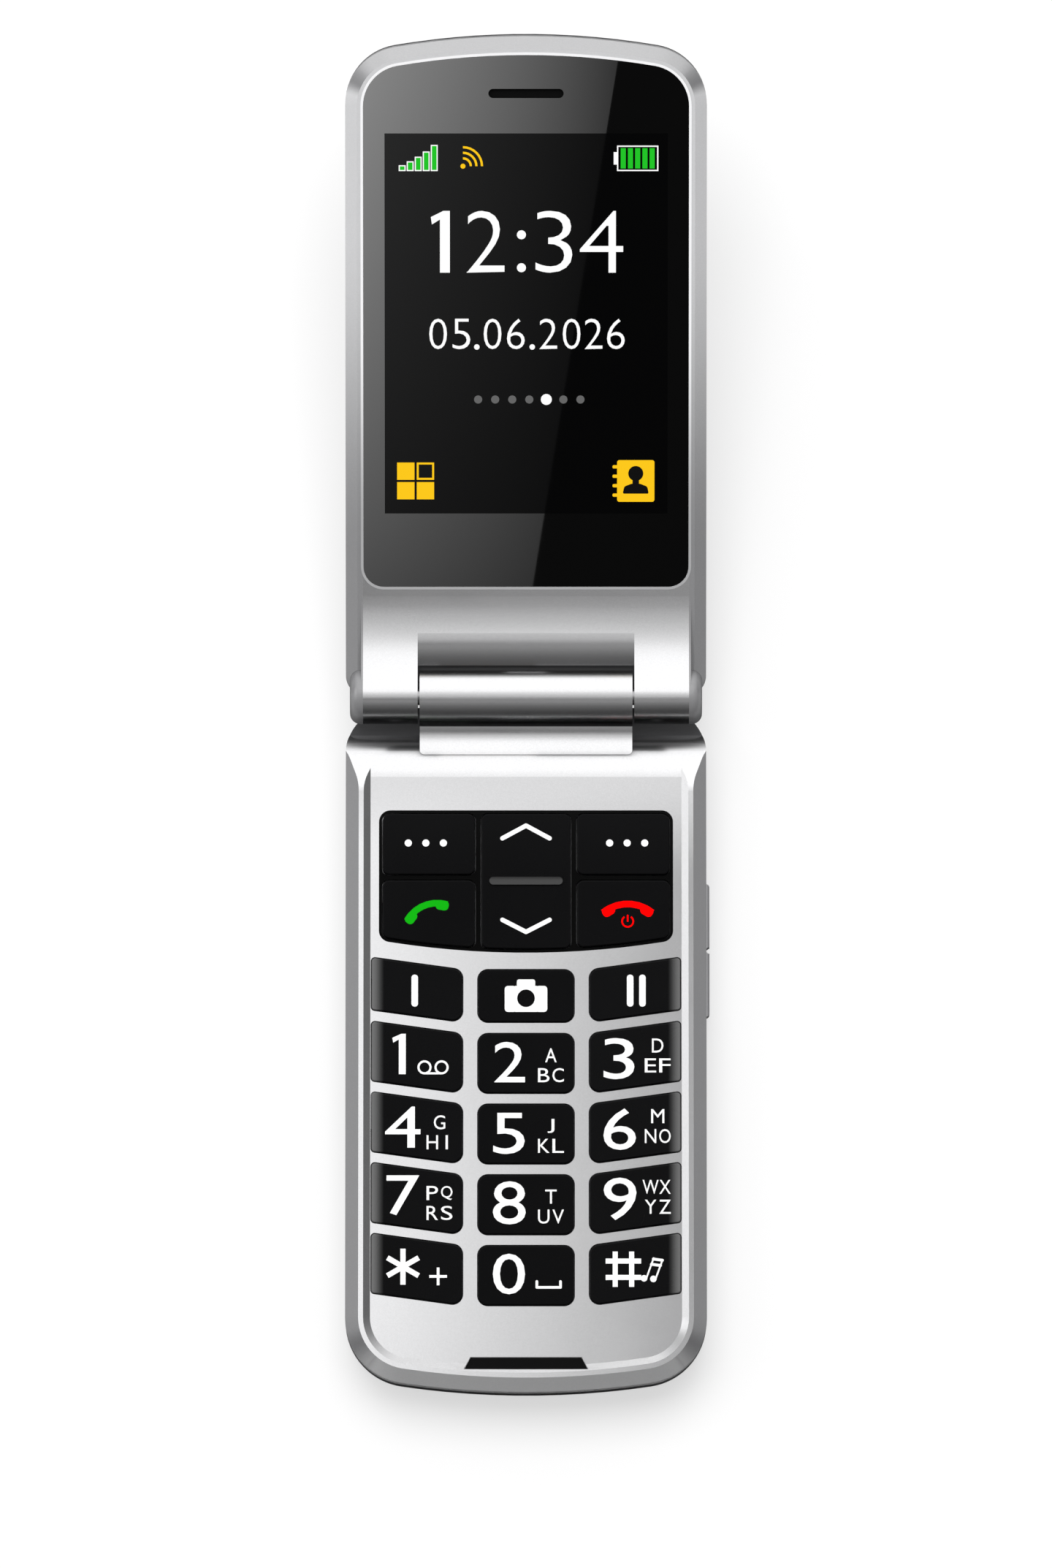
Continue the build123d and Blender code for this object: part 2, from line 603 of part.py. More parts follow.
with BuildPart() as rear_housing:
    add(rear_block.part)
    # Seat of the battery cover, open at the foot.
    with BuildSketch(base_face.offset(cover_seat)):
        with Locations((0, (COVER_START + BASE_LENGTH + outside) / 2)):
            Rectangle(2 * cover_half, BASE_LENGTH + outside - COVER_START)
    extrude(amount=COVER_THICKNESS, mode=Mode.SUBTRACT)
    # Battery bay, open to the back.
    with BuildSketch(base_face.offset(bay_top)):
        with Locations((0, battery_middle)):
            Rectangle(2 * (battery_half + BAY_GAP), battery_length + 2 * BAY_GAP)
    extrude(amount=BASE_DEPTH - bay_top, mode=Mode.SUBTRACT)
    # Component cells, open to the front: at the hinge, along both sides and at the foot.
    with BuildSketch(base_face.offset(rear_top)):
        with Locations((0, (CELL_START + CELL_END) / 2)):
            RectangleRounded(2 * cell_half, CELL_END - CELL_START, NAV_CORNER)
    extrude(amount=cell_floor - rear_top, mode=Mode.SUBTRACT)
    with BuildSketch(base_face.offset(rear_top)):
        middle = (channel_inner + channel_outer) / 2
        with Locations(*[(side * middle, (CHANNEL_START + channel_end) / 2) for side in (-1, 1)]):
            Rectangle(channel_outer - channel_inner, channel_end - CHANNEL_START)
        with Locations((0, foot_cell_middle)):
            Rectangle(2 * foot_cell_half, FOOT_CELL_LENGTH)
    extrude(amount=channel_floor - rear_top, mode=Mode.SUBTRACT)
    # Posts in the cell at the hinge, screw holes and seats for the heads.
    with BuildSketch(base_face.offset(rear_top)):
        with Locations(*screws[:2]):
            Circle(SCREW_HEAD + SCREW_HEAD_HEIGHT)
    extrude(amount=cell_floor - rear_top)
    with BuildSketch(base_face.offset(rear_top)):
        with Locations(*screws):
            Circle(SCREW_SHANK + FIT)
    extrude(amount=BASE_DEPTH, mode=Mode.SUBTRACT)
    with BuildSketch(base_face.offset(cover_seat - SCREW_HEAD_HEIGHT - FIT)):
        with Locations(*screws):
            Circle(SCREW_HEAD + FIT)
    extrude(amount=BASE_DEPTH, mode=Mode.SUBTRACT)
    # Slot of the volume key and mouth of the charging socket.
    with BuildSketch(base_face.offset(VOLUME_DEPTH - MOVING_GAP)):
        with Locations((half_width, slot_middle)):
            Rectangle(2 * slot_reach, VOLUME_END - VOLUME_START + 2 * MOVING_GAP)
    extrude(amount=VOLUME_HEIGHT + 2 * MOVING_GAP, mode=Mode.SUBTRACT)
    with BuildSketch(base_face.offset(VOLUME_DEPTH - FIT)):
        with Locations((-half_width, USB_MIDDLE)):
            Rectangle(2 * USB_LENGTH, USB_WIDTH + 2 * FIT)
    extrude(amount=USB_HEIGHT + 2 * FIT, mode=Mode.SUBTRACT)
    # Pockets of the battery contacts and the charging pads.
    with BuildSketch(base_face.offset(bay_top + FIT)):
        with Locations((0, BATTERY_START - BAY_GAP - CONTACT_BLOCK[1] / 2)):
            Rectangle(CONTACT_BLOCK[0] + 2 * FIT, CONTACT_BLOCK[1] + 2 * FIT)
    extrude(amount=CONTACT_BLOCK[2] + 2 * FIT, mode=Mode.SUBTRACT)
    with BuildSketch(base_face.offset(PAD_DEPTH - FIT)):
        with Locations((-PAD_OFFSET, BASE_LENGTH), (PAD_OFFSET, BASE_LENGTH)):
            Rectangle(PAD_SIZE[0] + 2 * FIT, PAD_POCKET + 2 * FIT)
    extrude(amount=PAD_SIZE[2] + 2 * FIT, mode=Mode.SUBTRACT)
    # Sound slots of the loudspeaker.
    with BuildSketch(base_face.offset(cell_floor - FIT)):
        with Locations((0, GRILLE_MIDDLE)):
            with GridLocations(0, GRILLE_PITCH, 1, GRILLE_SLOTS):
                SlotOverall(GRILLE_LENGTH, GRILLE_WIDTH)
    extrude(amount=BASE_DEPTH, mode=Mode.SUBTRACT)
write(rear_housing.part, "rear_housing")

with BuildPart() as battery_cover:
    add(rear_block.part)
    with BuildSketch(base_face.offset(cover_seat + COVER_RUN)):
        with Locations((0, (COVER_START + COVER_RUN + BASE_LENGTH + outside) / 2)):
            Rectangle(2 * (cover_half - COVER_RUN), BASE_LENGTH + outside - COVER_START - COVER_RUN)
    extrude(amount=COVER_THICKNESS, mode=Mode.INTERSECT)
    with BuildSketch(base_face.offset(BASE_DEPTH - GRIP_DEPTH)):
        with Locations((0, COVER_START + GRIP_LENGTH)):
            with GridLocations(0, GRIP_PITCH, 1, GRIP_GROOVES):
                SlotOverall(GRIP_LENGTH, GRIP_WIDTH)
    extrude(amount=GRIP_DEPTH + FIT, mode=Mode.SUBTRACT)
write(battery_cover.part, "battery_cover")


# ---- Keys ----
with BuildPart() as nav_bezel:
    with BuildSketch(base_face.offset(PLATE_DEPTH)):
        add(nav_panel_outline())
    extrude(amount=PLATE_THICKNESS)
    for name, draw, place in NAV_KEYS:
        with BuildSketch(base_face):
            add(draw(*place))
            offset(amount=KEY_GAP)
        extrude(amount=BASE_PARTING, mode=Mode.SUBTRACT)
write(nav_bezel.part, "nav_bezel")

for name, draw, place in KEYPAD:
    with BuildPart() as key:
        with BuildSketch(base_face.offset(KEY_DEPTH)):
            add(draw(*place))
        extrude(amount=key_back - KEY_DEPTH)
        if place[0]:
            add(side_roll(place[0]), mode=Mode.SUBTRACT)
        fillet(upper_edges(key), KEY_EDGE)
    write(key.part, name)

for name, draw, place in NAV_KEYS:
    with BuildPart() as nav_key:
        with BuildSketch(base_face.offset(KEY_DEPTH)):
            add(draw(*place))
        extrude(amount=key_back - KEY_DEPTH)
        fillet(upper_edges(nav_key), KEY_EDGE)
        if name == "nav_rocker":
            with BuildSketch(base_face.offset(KEY_DEPTH - RIDGE_HEIGHT)):
                with Locations((0, NAV_SPLIT)):
                    SlotOverall(2 * RIDGE_HALF, RIDGE_WIDTH)
            extrude(amount=RIDGE_HEIGHT + KEY_EDGE)
    write(nav_key.part, name)

with BuildPart() as key_mat:
    with BuildSketch(base_face.offset(mat_top)):
        with Locations((0, board_middle)):
            RectangleRounded(2 * board_half, board_end - BOARD_START, KEY_CORNER)
    extrude(amount=MAT_THICKNESS)
write(key_mat.part, "key_mat")


# ---- Inside the base ----
def key_middle(place):
    """Middle of a keypad key."""
    column, top, height = place
    side_middle = (SIDE_KEY_INNER + side_key_outer) / 2
    lean = abs(column) * SIDE_KEY_RISE / 2
    return (column * side_middle, top + height / 2 - lean)


nav_side_middle = (NAV_SIDE_START + nav_half) / 2
nav_rows = ((NAV_TOP + NAV_SPLIT) / 2, (NAV_SPLIT + NAV_BOTTOM) / 2)
dome_places = [key_middle(place) for name, draw, place in KEYPAD]
for y in nav_rows:
    dome_places += [(-nav_side_middle, y), (0, y), (nav_side_middle, y)]

with BuildPart() as dome_sheet:
    with BuildSketch(base_face.offset(dome_top + DOME_THICKNESS / 2)):
        with Locations((0, board_middle)):
            RectangleRounded(2 * board_half, board_end - BOARD_START, KEY_CORNER)
    extrude(amount=DOME_THICKNESS / 2)
    with BuildSketch(base_face.offset(dome_top)):
        with Locations(*dome_places):
            Circle(DOME_RADIUS)
    extrude(amount=DOME_THICKNESS / 2)
write(dome_sheet.part, "dome_sheet")

with BuildPart() as main_board:
    with BuildSketch(base_face.offset(board_top)):
        with Locations((0, board_middle)):
            RectangleRounded(2 * board_half, board_end - BOARD_START, KEY_CORNER)
    extrude(amount=BOARD_THICKNESS)
write(main_board.part, "main_board")

with BuildPart() as shield_cans:
    for side, width, length, middle in CANS:
        with BuildSketch(base_face.offset(board_back + FIT)):
            with Locations((side * (half_width - CAN_MARGIN), middle)):
                RectangleRounded(width, length, KEY_OUTER_CORNER)
        extrude(amount=CAN_HEIGHT)
write(shield_cans.part, "shield_cans")

with BuildPart() as battery:
    with BuildSketch(base_face.offset(bay_top + FIT)):
        with Locations((0, battery_middle)):
            RectangleRounded(2 * battery_half, battery_length, KEY_OUTER_CORNER)
    extrude(amount=BATTERY_THICKNESS)
    fillet(edges().filter_by(Axis.Y), KEY_OUTER_CORNER)
write(battery.part, "battery")

with BuildPart() as battery_contacts:
    with BuildSketch(base_face.offset(bay_top + 2 * FIT)):
        with Locations((0, BATTERY_START - BAY_GAP - CONTACT_BLOCK[1] / 2)):
            Rectangle(CONTACT_BLOCK[0], CONTACT_BLOCK[1])
    extrude(amount=CONTACT_BLOCK[2])
    with BuildSketch(base_face.offset(bay_top + CONTACT_BLOCK[2] / 2)):
        with Locations((0, BATTERY_START - BAY_GAP)):
            with GridLocations(CONTACT_PITCH, 0, 3, 1):
                Rectangle(CONTACT_BLADE, BAY_GAP)
    extrude(amount=BAY_GAP)
write(battery_contacts.part, "battery_contacts")

with BuildPart() as loudspeaker:
    with BuildSketch(base_face.offset(cell_floor - FIT - SPEAKER_SIZE[2])):
        with Locations((0, GRILLE_MIDDLE)):
            RectangleRounded(SPEAKER_SIZE[0], SPEAKER_SIZE[1], KEY_CORNER)
    extrude(amount=SPEAKER_SIZE[2])
write(loudspeaker.part, "loudspeaker")

with BuildPart() as vibration_motor:
    with BuildSketch(base_face.offset(cell_floor - FIT - MOTOR_HEIGHT)):
        with Locations((half_width - MOTOR_MARGIN, MOTOR_MIDDLE)):
            Circle(MOTOR_RADIUS)
    extrude(amount=MOTOR_HEIGHT)
write(vibration_motor.part, "vibration_motor")

with BuildPart() as sim_reader:
    with BuildSketch(base_face.offset(cell_floor - FIT - SIM_THICKNESS)):
        with Locations((-sim_start - sim_width / 2, SIM_MIDDLE)):
            Rectangle(sim_width, SIM_LENGTH)
    extrude(amount=SIM_THICKNESS)
    # Slot for the card, open towards the battery.
    with BuildSketch(base_face.offset(cell_floor - FIT - SIM_THICKNESS + SIM_ROOF)):
        with Locations((-sim_start - sim_width / 2, SIM_MIDDLE + SIM_RAIL)):
            Rectangle(sim_width - 2 * SIM_RAIL, SIM_LENGTH)
    extrude(amount=SIM_SLOT, mode=Mode.SUBTRACT)
write(sim_reader.part, "sim_reader")

with BuildPart() as microphone:
    with BuildSketch(base_face.offset(board_back + FIT)):
        with Locations((MICROPHONE_OFFSET, BASE_LENGTH - MICROPHONE_FOOT)):
            Circle(MICROPHONE_RADIUS)
    extrude(amount=MICROPHONE_HEIGHT)
write(microphone.part, "microphone")

with BuildPart() as antenna:
    with BuildSketch(base_face.offset(channel_floor - FIT - ANTENNA_THICKNESS)):
        with Locations((0, foot_cell_middle)):
            RectangleRounded(2 * (foot_cell_half - ANTENNA_MARGIN), ANTENNA_LENGTH, KEY_CORNER)
    extrude(amount=ANTENNA_THICKNESS)
write(antenna.part, "antenna")

with BuildPart() as usb_port:
    with BuildSketch(base_face.offset(VOLUME_DEPTH)):
        with Locations((-half_width + USB_LENGTH / 2 + 2 * FIT, USB_MIDDLE)):
            Rectangle(USB_LENGTH - 3 * FIT, USB_WIDTH)
    extrude(amount=USB_HEIGHT)
    # Mouth with a tongue in its middle.
    with BuildSketch(base_face.offset(VOLUME_DEPTH + USB_WALL)):
        with Locations((-half_width, USB_MIDDLE)):
            Rectangle(2 * (USB_LENGTH - USB_BACK), USB_WIDTH - 2 * USB_WALL)
        with Locations((-half_width, USB_MIDDLE)):
            Rectangle(2 * (USB_LENGTH - USB_BACK), USB_WIDTH / 2, mode=Mode.SUBTRACT)
    extrude(amount=USB_HEIGHT - 2 * USB_WALL, mode=Mode.SUBTRACT)
    for depth in (VOLUME_DEPTH + USB_WALL, VOLUME_DEPTH + USB_HEIGHT - 3 * USB_WALL):
        with BuildSketch(base_face.offset(depth)):
            with Locations((-half_width, USB_MIDDLE)):
                Rectangle(2 * (USB_LENGTH - USB_BACK), USB_WIDTH / 2 + USB_WALL)
        extrude(amount=2 * USB_WALL, mode=Mode.SUBTRACT)
write(usb_port.part, "usb_port")

with BuildPart() as case_screws:
    with BuildSketch(base_face.offset(cover_seat - SCREW_HEAD_HEIGHT)):
        with Locations(*screws):
            Circle(SCREW_HEAD)
    extrude(amount=SCREW_HEAD_HEIGHT)
    with BuildSketch(base_face.offset(cover_seat)):
        with Locations(*screws):
            Circle(SCREW_SHANK)
    extrude(amount=-SCREW_LENGTH)
    # Cross recesses in the heads.
    with BuildSketch(base_face.offset(cover_seat)):
        with Locations(*screws):
            Rectangle(SCREW_HEAD, BAY_GAP)
            Rectangle(BAY_GAP, SCREW_HEAD)
    extrude(amount=-SCREW_HEAD_HEIGHT / 2, mode=Mode.SUBTRACT)
write(case_screws.part, "case_screws")

with BuildPart() as volume_rocker:
    with BuildSketch(base_face.offset(VOLUME_DEPTH)):
        inner = half_width - slot_reach + SWITCH_THICKNESS + 2 * FIT + MOVING_GAP
        outer = half_width + VOLUME_PROUD
        with Locations(((inner + outer) / 2, slot_middle)):
            Rectangle(outer - inner, VOLUME_END - VOLUME_START)
    extrude(amount=VOLUME_HEIGHT)
    outer_face = faces().sort_by(Axis.X)[-1]
    fillet(outer_face.edges(), VOLUME_PROUD)
    # Notch between the two ends of the key.
    with BuildSketch(base_face.offset(VOLUME_DEPTH)):
        with Locations((outer, slot_middle)):
            Circle(VOLUME_PROUD)
    extrude(amount=VOLUME_HEIGHT, mode=Mode.SUBTRACT)
write(volume_rocker.part, "volume_rocker")

with BuildPart() as volume_switches:
    with BuildSketch(base_face.offset(VOLUME_DEPTH)):
        with Locations((half_width - slot_reach + FIT + SWITCH_THICKNESS / 2, slot_middle)):
            Rectangle(SWITCH_THICKNESS, VOLUME_END - VOLUME_START)
    extrude(amount=VOLUME_HEIGHT)
write(volume_switches.part, "volume_switches")

with BuildPart() as charging_pads:
    with BuildSketch(base_face.offset(PAD_DEPTH)):
        with Locations(*[(side * PAD_OFFSET, BASE_LENGTH - PAD_SIZE[1]) for side in (-1, 1)]):
            Rectangle(PAD_SIZE[0], PAD_SIZE[1])
    extrude(amount=PAD_SIZE[2])
write(charging_pads.part, "charging_pads")

with BuildPart() as finger_notch_pad:
    with BuildSketch(base_face.offset(NOTCH_FLOOR - FIT - NOTCH_PAD)):
        with BuildLine():
            Polyline(
                (-NOTCH_TOP_HALF, notch_top),
                (NOTCH_TOP_HALF, notch_top),
                (NOTCH_BOTTOM_HALF, notch_bottom),
                (-NOTCH_BOTTOM_HALF, notch_bottom),
                close=True,
            )
        make_face()
        offset(amount=-FIT)
    extrude(amount=NOTCH_PAD)
write(finger_notch_pad.part, "finger_notch_pad")


# ---- Hinge ----
# Barrel fixed to the base, with a tongue that lies on the base's shoulder.
tongue_tilt = degrees(asin((SHOULDER_CREST - TONGUE_REACH) / SHOULDER_RADIUS))
tongue_foot = shoulder_point(tongue_tilt)[1]
tongue_end = (TONGUE_REACH, tongue_foot - TONGUE_RISE)
sweep_middle = (
    TONGUE_REACH - TONGUE_SWEEP * sin(radians(tongue_tilt)),
    tongue_end[1] - TONGUE_SWEEP * cos(radians(tongue_tilt)),
)
web_depth = BASE_PARTING - FIT / 2
web_tilt = shoulder_tilt(web_depth, FIT)
seat_tilt = degrees(asin((SHOULDER_CREST - TONGUE_REACH) / (SHOULDER_RADIUS + FIT)))
web_start = LEDGE_START + MOVING_GAP
blend_depth = sweep_middle[1] + sqrt(TONGUE_SWEEP**2 - (sweep_middle[0] - TONGUE_BLEND) ** 2)
with BuildPart() as hinge_barrel:
    with BuildSketch(base_side):
        with BuildLine():
            ThreePointArc(
                tongue_end,
                (sweep_middle[0], sweep_middle[1] + TONGUE_SWEEP),
                (TONGUE_BLEND, blend_depth),
            )
            Polyline(
                (TONGUE_BLEND, blend_depth),
                (web_start, blend_depth),
                (web_start, web_depth),
                shoulder_point(web_tilt, FIT),
            )
            shoulder_arc(web_tilt, seat_tilt, FIT)
            Line(shoulder_point(seat_tilt, FIT), tongue_end)
        make_face()
        Circle(BARREL_RADIUS)
    extrude(amount=barrel_half, both=True)
    # Rounded corners of the tongue, seen from the front.
    with BuildSketch(base_face.offset(-outside)):
        Rectangle(2 * barrel_half, 2 * TONGUE_REACH)
        fillet(vertices(), TONGUE_CORNER)
    extrude(amount=3 * outside, mode=Mode.INTERSECT)
    with BuildSketch(base_side):
        Circle(BARREL_BORE)
    extrude(amount=barrel_half, both=True, mode=Mode.SUBTRACT)
write(hinge_barrel.part, "hinge_barrel")

with BuildPart() as hinge_cartridge:
    with BuildSketch(base_side.offset(CARTRIDGE_START)):
        Circle(BARREL_BORE - FIT)
    extrude(amount=barrel_half - CARTRIDGE_START)
    with BuildSketch(base_side.offset(barrel_half)):
        Circle(PIN_RADIUS)
    extrude(amount=pin_reach - barrel_half)
write(hinge_cartridge.part, "hinge_cartridge")

with BuildPart() as hinge_pin:
    with BuildSketch(base_side.offset(FLANGE_LENGTH - barrel_half)):
        Circle(BARREL_BORE - FIT)
    extrude(amount=-FLANGE_LENGTH)
    with BuildSketch(base_side.offset(-barrel_half)):
        Circle(PIN_RADIUS)
    extrude(amount=barrel_half - pin_reach)
write(hinge_pin.part, "hinge_pin")

with BuildPart() as hinge_flex:
    with BuildSketch(base_side.offset(FLANGE_LENGTH + FIT - barrel_half)):
        Circle(FLEX_RADIUS)
        Circle(FLEX_RADIUS - FLEX_WALL, mode=Mode.SUBTRACT)
    extrude(amount=barrel_half + CARTRIDGE_START - FLANGE_LENGTH - 2 * FIT)
write(hinge_flex.part, "hinge_flex")


# ---- Lid ----
# Block of the lid's inner housing: straight walls, then sloping walls up to the face.
with BuildPart() as lid_block:
    with BuildSketch(lid_face.offset(LID_BEVEL + RIM_DEPTH)):
        add(lid_outline())
    extrude(amount=LID_PARTING - LID_BEVEL - RIM_DEPTH)
    with BuildSketch(lid_face.offset(RIM_DEPTH)):
        add(lid_outline(inset=LID_BEVEL))
    with BuildSketch(lid_face.offset(LID_BEVEL + RIM_DEPTH)):
        add(lid_outline())
    loft(ruled=True)

# One knuckle with the sweep that runs up to it from the lid's face, and its mirror image.
sweep_chord = LOBE_LENGTH**2 + RIM_DEPTH**2 - KNUCKLE_RADIUS**2
sweep_radius = sweep_chord / (2 * (KNUCKLE_RADIUS + RIM_DEPTH))
meeting = KNUCKLE_RADIUS / (KNUCKLE_RADIUS + sweep_radius)
sweep_meet = (LOBE_LENGTH * meeting, (RIM_DEPTH - sweep_radius) * meeting)
with BuildPart() as knuckles:
    with BuildSketch(lid_side.offset(lobe_start)):
        Circle(KNUCKLE_RADIUS)
    extrude(amount=knuckle_reach - lobe_start)
    end_edge = edges().filter_by(GeomType.CIRCLE).sort_by(Axis.X)[0]
    fillet(end_edge, KNUCKLE_END)
    with BuildSketch(lid_side.offset(lobe_start)):
        with BuildLine():
            TangentArc((LOBE_LENGTH, RIM_DEPTH), sweep_meet, tangent=(-1, 0))
            Polyline(
                sweep_meet,
                (0, 0),
                (0, LID_PARTING / 2),
                (LOBE_LENGTH, LID_PARTING / 2),
                (LOBE_LENGTH, RIM_DEPTH),
            )
        make_face()
    extrude(amount=lobe_reach - lobe_start)
    mirror(about=Plane.YZ)

# The sweep also crosses the middle of the lid, up to the recess that rolls over to the barrel.
recess_rise = asin((LOBE_LENGTH - RECESS_LENGTH) / sweep_radius)
recess_start = (RECESS_LENGTH, RIM_DEPTH - sweep_radius * (1 - cos(recess_rise)))
roll_middle = (
    recess_start[0] - RECESS_RADIUS * sin(recess_rise),
    recess_start[1] + RECESS_RADIUS * cos(recess_rise),
)
recess_end = (
    roll_middle[0] - RECESS_RADIUS * sin(radians(RECESS_TILT)),
    roll_middle[1] - RECESS_RADIUS * cos(radians(RECESS_TILT)),
)
with BuildPart() as lid_front:
    with BuildSketch(lid_side):
        with Locations((LID_LENGTH / 2, (RIM_DEPTH + LID_PARTING) / 2)):
            Rectangle(LID_LENGTH, LID_PARTING - RIM_DEPTH)
        fillet(vertices().sort_by_distance((0, RIM_DEPTH))[0], LID_EDGE_RADIUS)
    extrude(amount=half_width, both=True)
    add(lid_block.part, mode=Mode.INTERSECT)
    add(knuckles.part)
    # The sweep between the knuckles, rolling over towards the barrel, and room for the barrel.
    with BuildSketch(lid_side):
        with BuildLine():
            TangentArc((LOBE_LENGTH, RIM_DEPTH), recess_start, tangent=(-1, 0))
            TangentArc(recess_start, recess_end, tangent=(-cos(recess_rise), -sin(recess_rise)))
            Polyline(
                recess_end,
                (recess_end[0], LID_PARTING / 2),
                (LOBE_LENGTH, LID_PARTING / 2),
                (LOBE_LENGTH, RIM_DEPTH),
            )
        make_face()
    extrude(amount=lobe_start, both=True)
    with BuildSketch(lid_side):
        Circle(barrel_clear)
        with BuildLine():
            Polyline(
                (recess_end[0], -outside),
                (recess_end[0], LID_PARTING + FIT),
                (-outside, LID_PARTING + FIT),
                (-outside, -outside),
                close=True,
            )
        make_face()
    extrude(amount=lobe_start, both=True, mode=Mode.SUBTRACT)
    with BuildSketch(lid_side):
        Circle(PIN_RADIUS + PIN_CLEARANCE)
    extrude(amount=pin_reach + MOVING_GAP, both=True, mode=Mode.SUBTRACT)
    # Seat of the window and the opening behind it.
    with BuildSketch(lid_face):
        add(lid_outline(WINDOW_INSET - FIT, WINDOW_START - FIT, WINDOW_CORNER + FIT))
    extrude(amount=window_back + FIT, mode=Mode.SUBTRACT)
    with BuildSketch(lid_face):
        add(lid_outline(WINDOW_INSET + WINDOW_LEDGE, WINDOW_START + WINDOW_LEDGE, WINDOW_LEDGE))
    extrude(amount=LID_DEPTH, mode=Mode.SUBTRACT)
    with BuildSketch(lid_face.offset(LID_PARTING - MAGNET_SIZE[2] - FIT)):
        with Locations((0, MAGNET_MIDDLE)):
            Rectangle(MAGNET_SIZE[0] + 2 * FIT, MAGNET_SIZE[1] + 2 * FIT)
    extrude(amount=MAGNET_SIZE[2] + 2 * FIT, mode=Mode.SUBTRACT)
write(lid_front.part, "lid_front")

with BuildPart() as lid_cover:
    with BuildSketch(lid_face.offset(cover_top)):
        add(lid_outline())
    extrude(amount=LID_DEPTH - cover_top)
    fillet(faces().sort_by(lid_axis)[-1].edges(), BACK_EDGE)
    # Gentle crown along the outside.
    with BuildSketch(lid_side):
        with BuildLine():
            TangentArc((OUTER_CROWN_HINGE, LID_DEPTH), (0, OUTER_HINGE_DEPTH), tangent=(-1, 0))
            Polyline((0, OUTER_HINGE_DEPTH), (0, cover_top), (LID_LENGTH, cover_top))
            Line((LID_LENGTH, cover_top), (LID_LENGTH, LID_DEPTH - OUTER_TIP_DROP))
            tip_crown = (LID_LENGTH - OUTER_CROWN_TIP, LID_DEPTH)
            TangentArc(tip_crown, (LID_LENGTH, LID_DEPTH - OUTER_TIP_DROP), tangent=(1, 0))
            Line(tip_crown, (OUTER_CROWN_HINGE, LID_DEPTH))
        make_face()
    extrude(amount=half_width, both=True, mode=Mode.INTERSECT)
    with BuildSketch(lid_face.offset(cover_top)):
        add(lid_outline(LID_BEVEL, RECESS_LENGTH, WINDOW_LEDGE))
    extrude(amount=lid_cell_floor - cover_top, mode=Mode.SUBTRACT)
    with BuildSketch(lid_side):
        Circle(barrel_clear)
    extrude(amount=lobe_start, both=True, mode=Mode.SUBTRACT)
    # Seat of the outer window and the opening behind it.
    with BuildSketch(lid_face.offset(outer_glass_seat)):
        with Locations((0, outer_window_middle)):
            RectangleRounded(
                OUTER_WINDOW[0] + 2 * FIT, OUTER_WINDOW[1] + 2 * FIT, OUTER_WINDOW_CORNER + FIT
            )
    extrude(amount=outside, mode=Mode.SUBTRACT)
    with BuildSketch(lid_face):
        with Locations((0, outer_window_middle)):
            Rectangle(OUTER_SCREEN, OUTER_SCREEN)
        with Locations((0, camera_middle)):
            Circle(CAMERA_RING + FIT)
        with Locations((TORCH_OFFSET, camera_middle)):
            Circle(TORCH_RADIUS + FIT)
    extrude(amount=LID_DEPTH + outside, mode=Mode.SUBTRACT)
    # Bosses for the board's screws.
    with BuildSketch(lid_face.offset(lid_board_back + FIT)):
        with Locations(*lid_screw_places):
            Circle(BOSS_RADIUS)
    extrude(amount=lid_cell_floor - lid_board_back)
    with BuildSketch(lid_face.offset(lid_board_back + FIT)):
        with Locations(*lid_screw_places):
            Circle(SCREW_SHANK + FIT)
    extrude(amount=lid_cell_floor - lid_board_back, mode=Mode.SUBTRACT)
write(lid_cover.part, "lid_cover")

with BuildPart() as display_window:
    with BuildSketch(lid_face.offset(RIM_DEPTH + FIT)):
        add(lid_outline(WINDOW_INSET, WINDOW_START, WINDOW_CORNER))
        with Locations((0, ear_middle)):
            SlotOverall(EAR_WIDTH, EAR_HEIGHT, mode=Mode.SUBTRACT)
    extrude(amount=WINDOW_THICKNESS)
write(display_window.part, "display_window")

with BuildPart() as earpiece_grille:
    with BuildSketch(lid_face.offset(window_back - WINDOW_THICKNESS / 2)):
        with Locations((0, ear_middle)):
            SlotOverall(EAR_WIDTH - 2 * FIT, EAR_HEIGHT - 2 * FIT)
    extrude(amount=WINDOW_THICKNESS / 2)
write(earpiece_grille.part, "earpiece_grille")

with BuildPart() as earpiece:
    with BuildSketch(lid_face.offset(screen_top)):
        with Locations((0, ear_middle)):
            RectangleRounded(EARPIECE_SIZE[0], EARPIECE_SIZE[1], KEY_CORNER)
    extrude(amount=EARPIECE_SIZE[2])
write(earpiece.part, "earpiece")

with BuildPart() as display_module:
    with BuildSketch(lid_face.offset(screen_top)):
        with Locations((0, (module_start + module_end) / 2)):
            Rectangle(2 * module_half, module_end - module_start)
    extrude(amount=SCREEN_THICKNESS)
write(display_module.part, "display_module")

with BuildPart() as lid_board:
    with BuildSketch(lid_face.offset(lid_board_top)):
        board_inset = WINDOW_INSET + WINDOW_LEDGE + LID_BOARD_GAP
        add(lid_outline(board_inset, WINDOW_START + WINDOW_LEDGE + MOVING_GAP, WINDOW_LEDGE))
        with Locations(*lid_screw_places):
            Circle(SCREW_SHANK + FIT, mode=Mode.SUBTRACT)
    extrude(amount=LID_BOARD_THICKNESS)
write(lid_board.part, "lid_board")

with BuildPart() as lid_screws:
    for place in lid_screw_places:
        with BuildSketch(lid_face.offset(lid_board_top - FIT - SCREW_HEAD_HEIGHT)):
            with Locations(place):
                Circle(LID_SCREW_HEAD)
        extrude(amount=SCREW_HEAD_HEIGHT)
        with BuildSketch(lid_face.offset(lid_board_top - SCREW_HEAD_HEIGHT)):
            with Locations(place):
                Circle(SCREW_SHANK)
        extrude(amount=LID_SCREW_LENGTH)
write(lid_screws.part, "lid_screws")

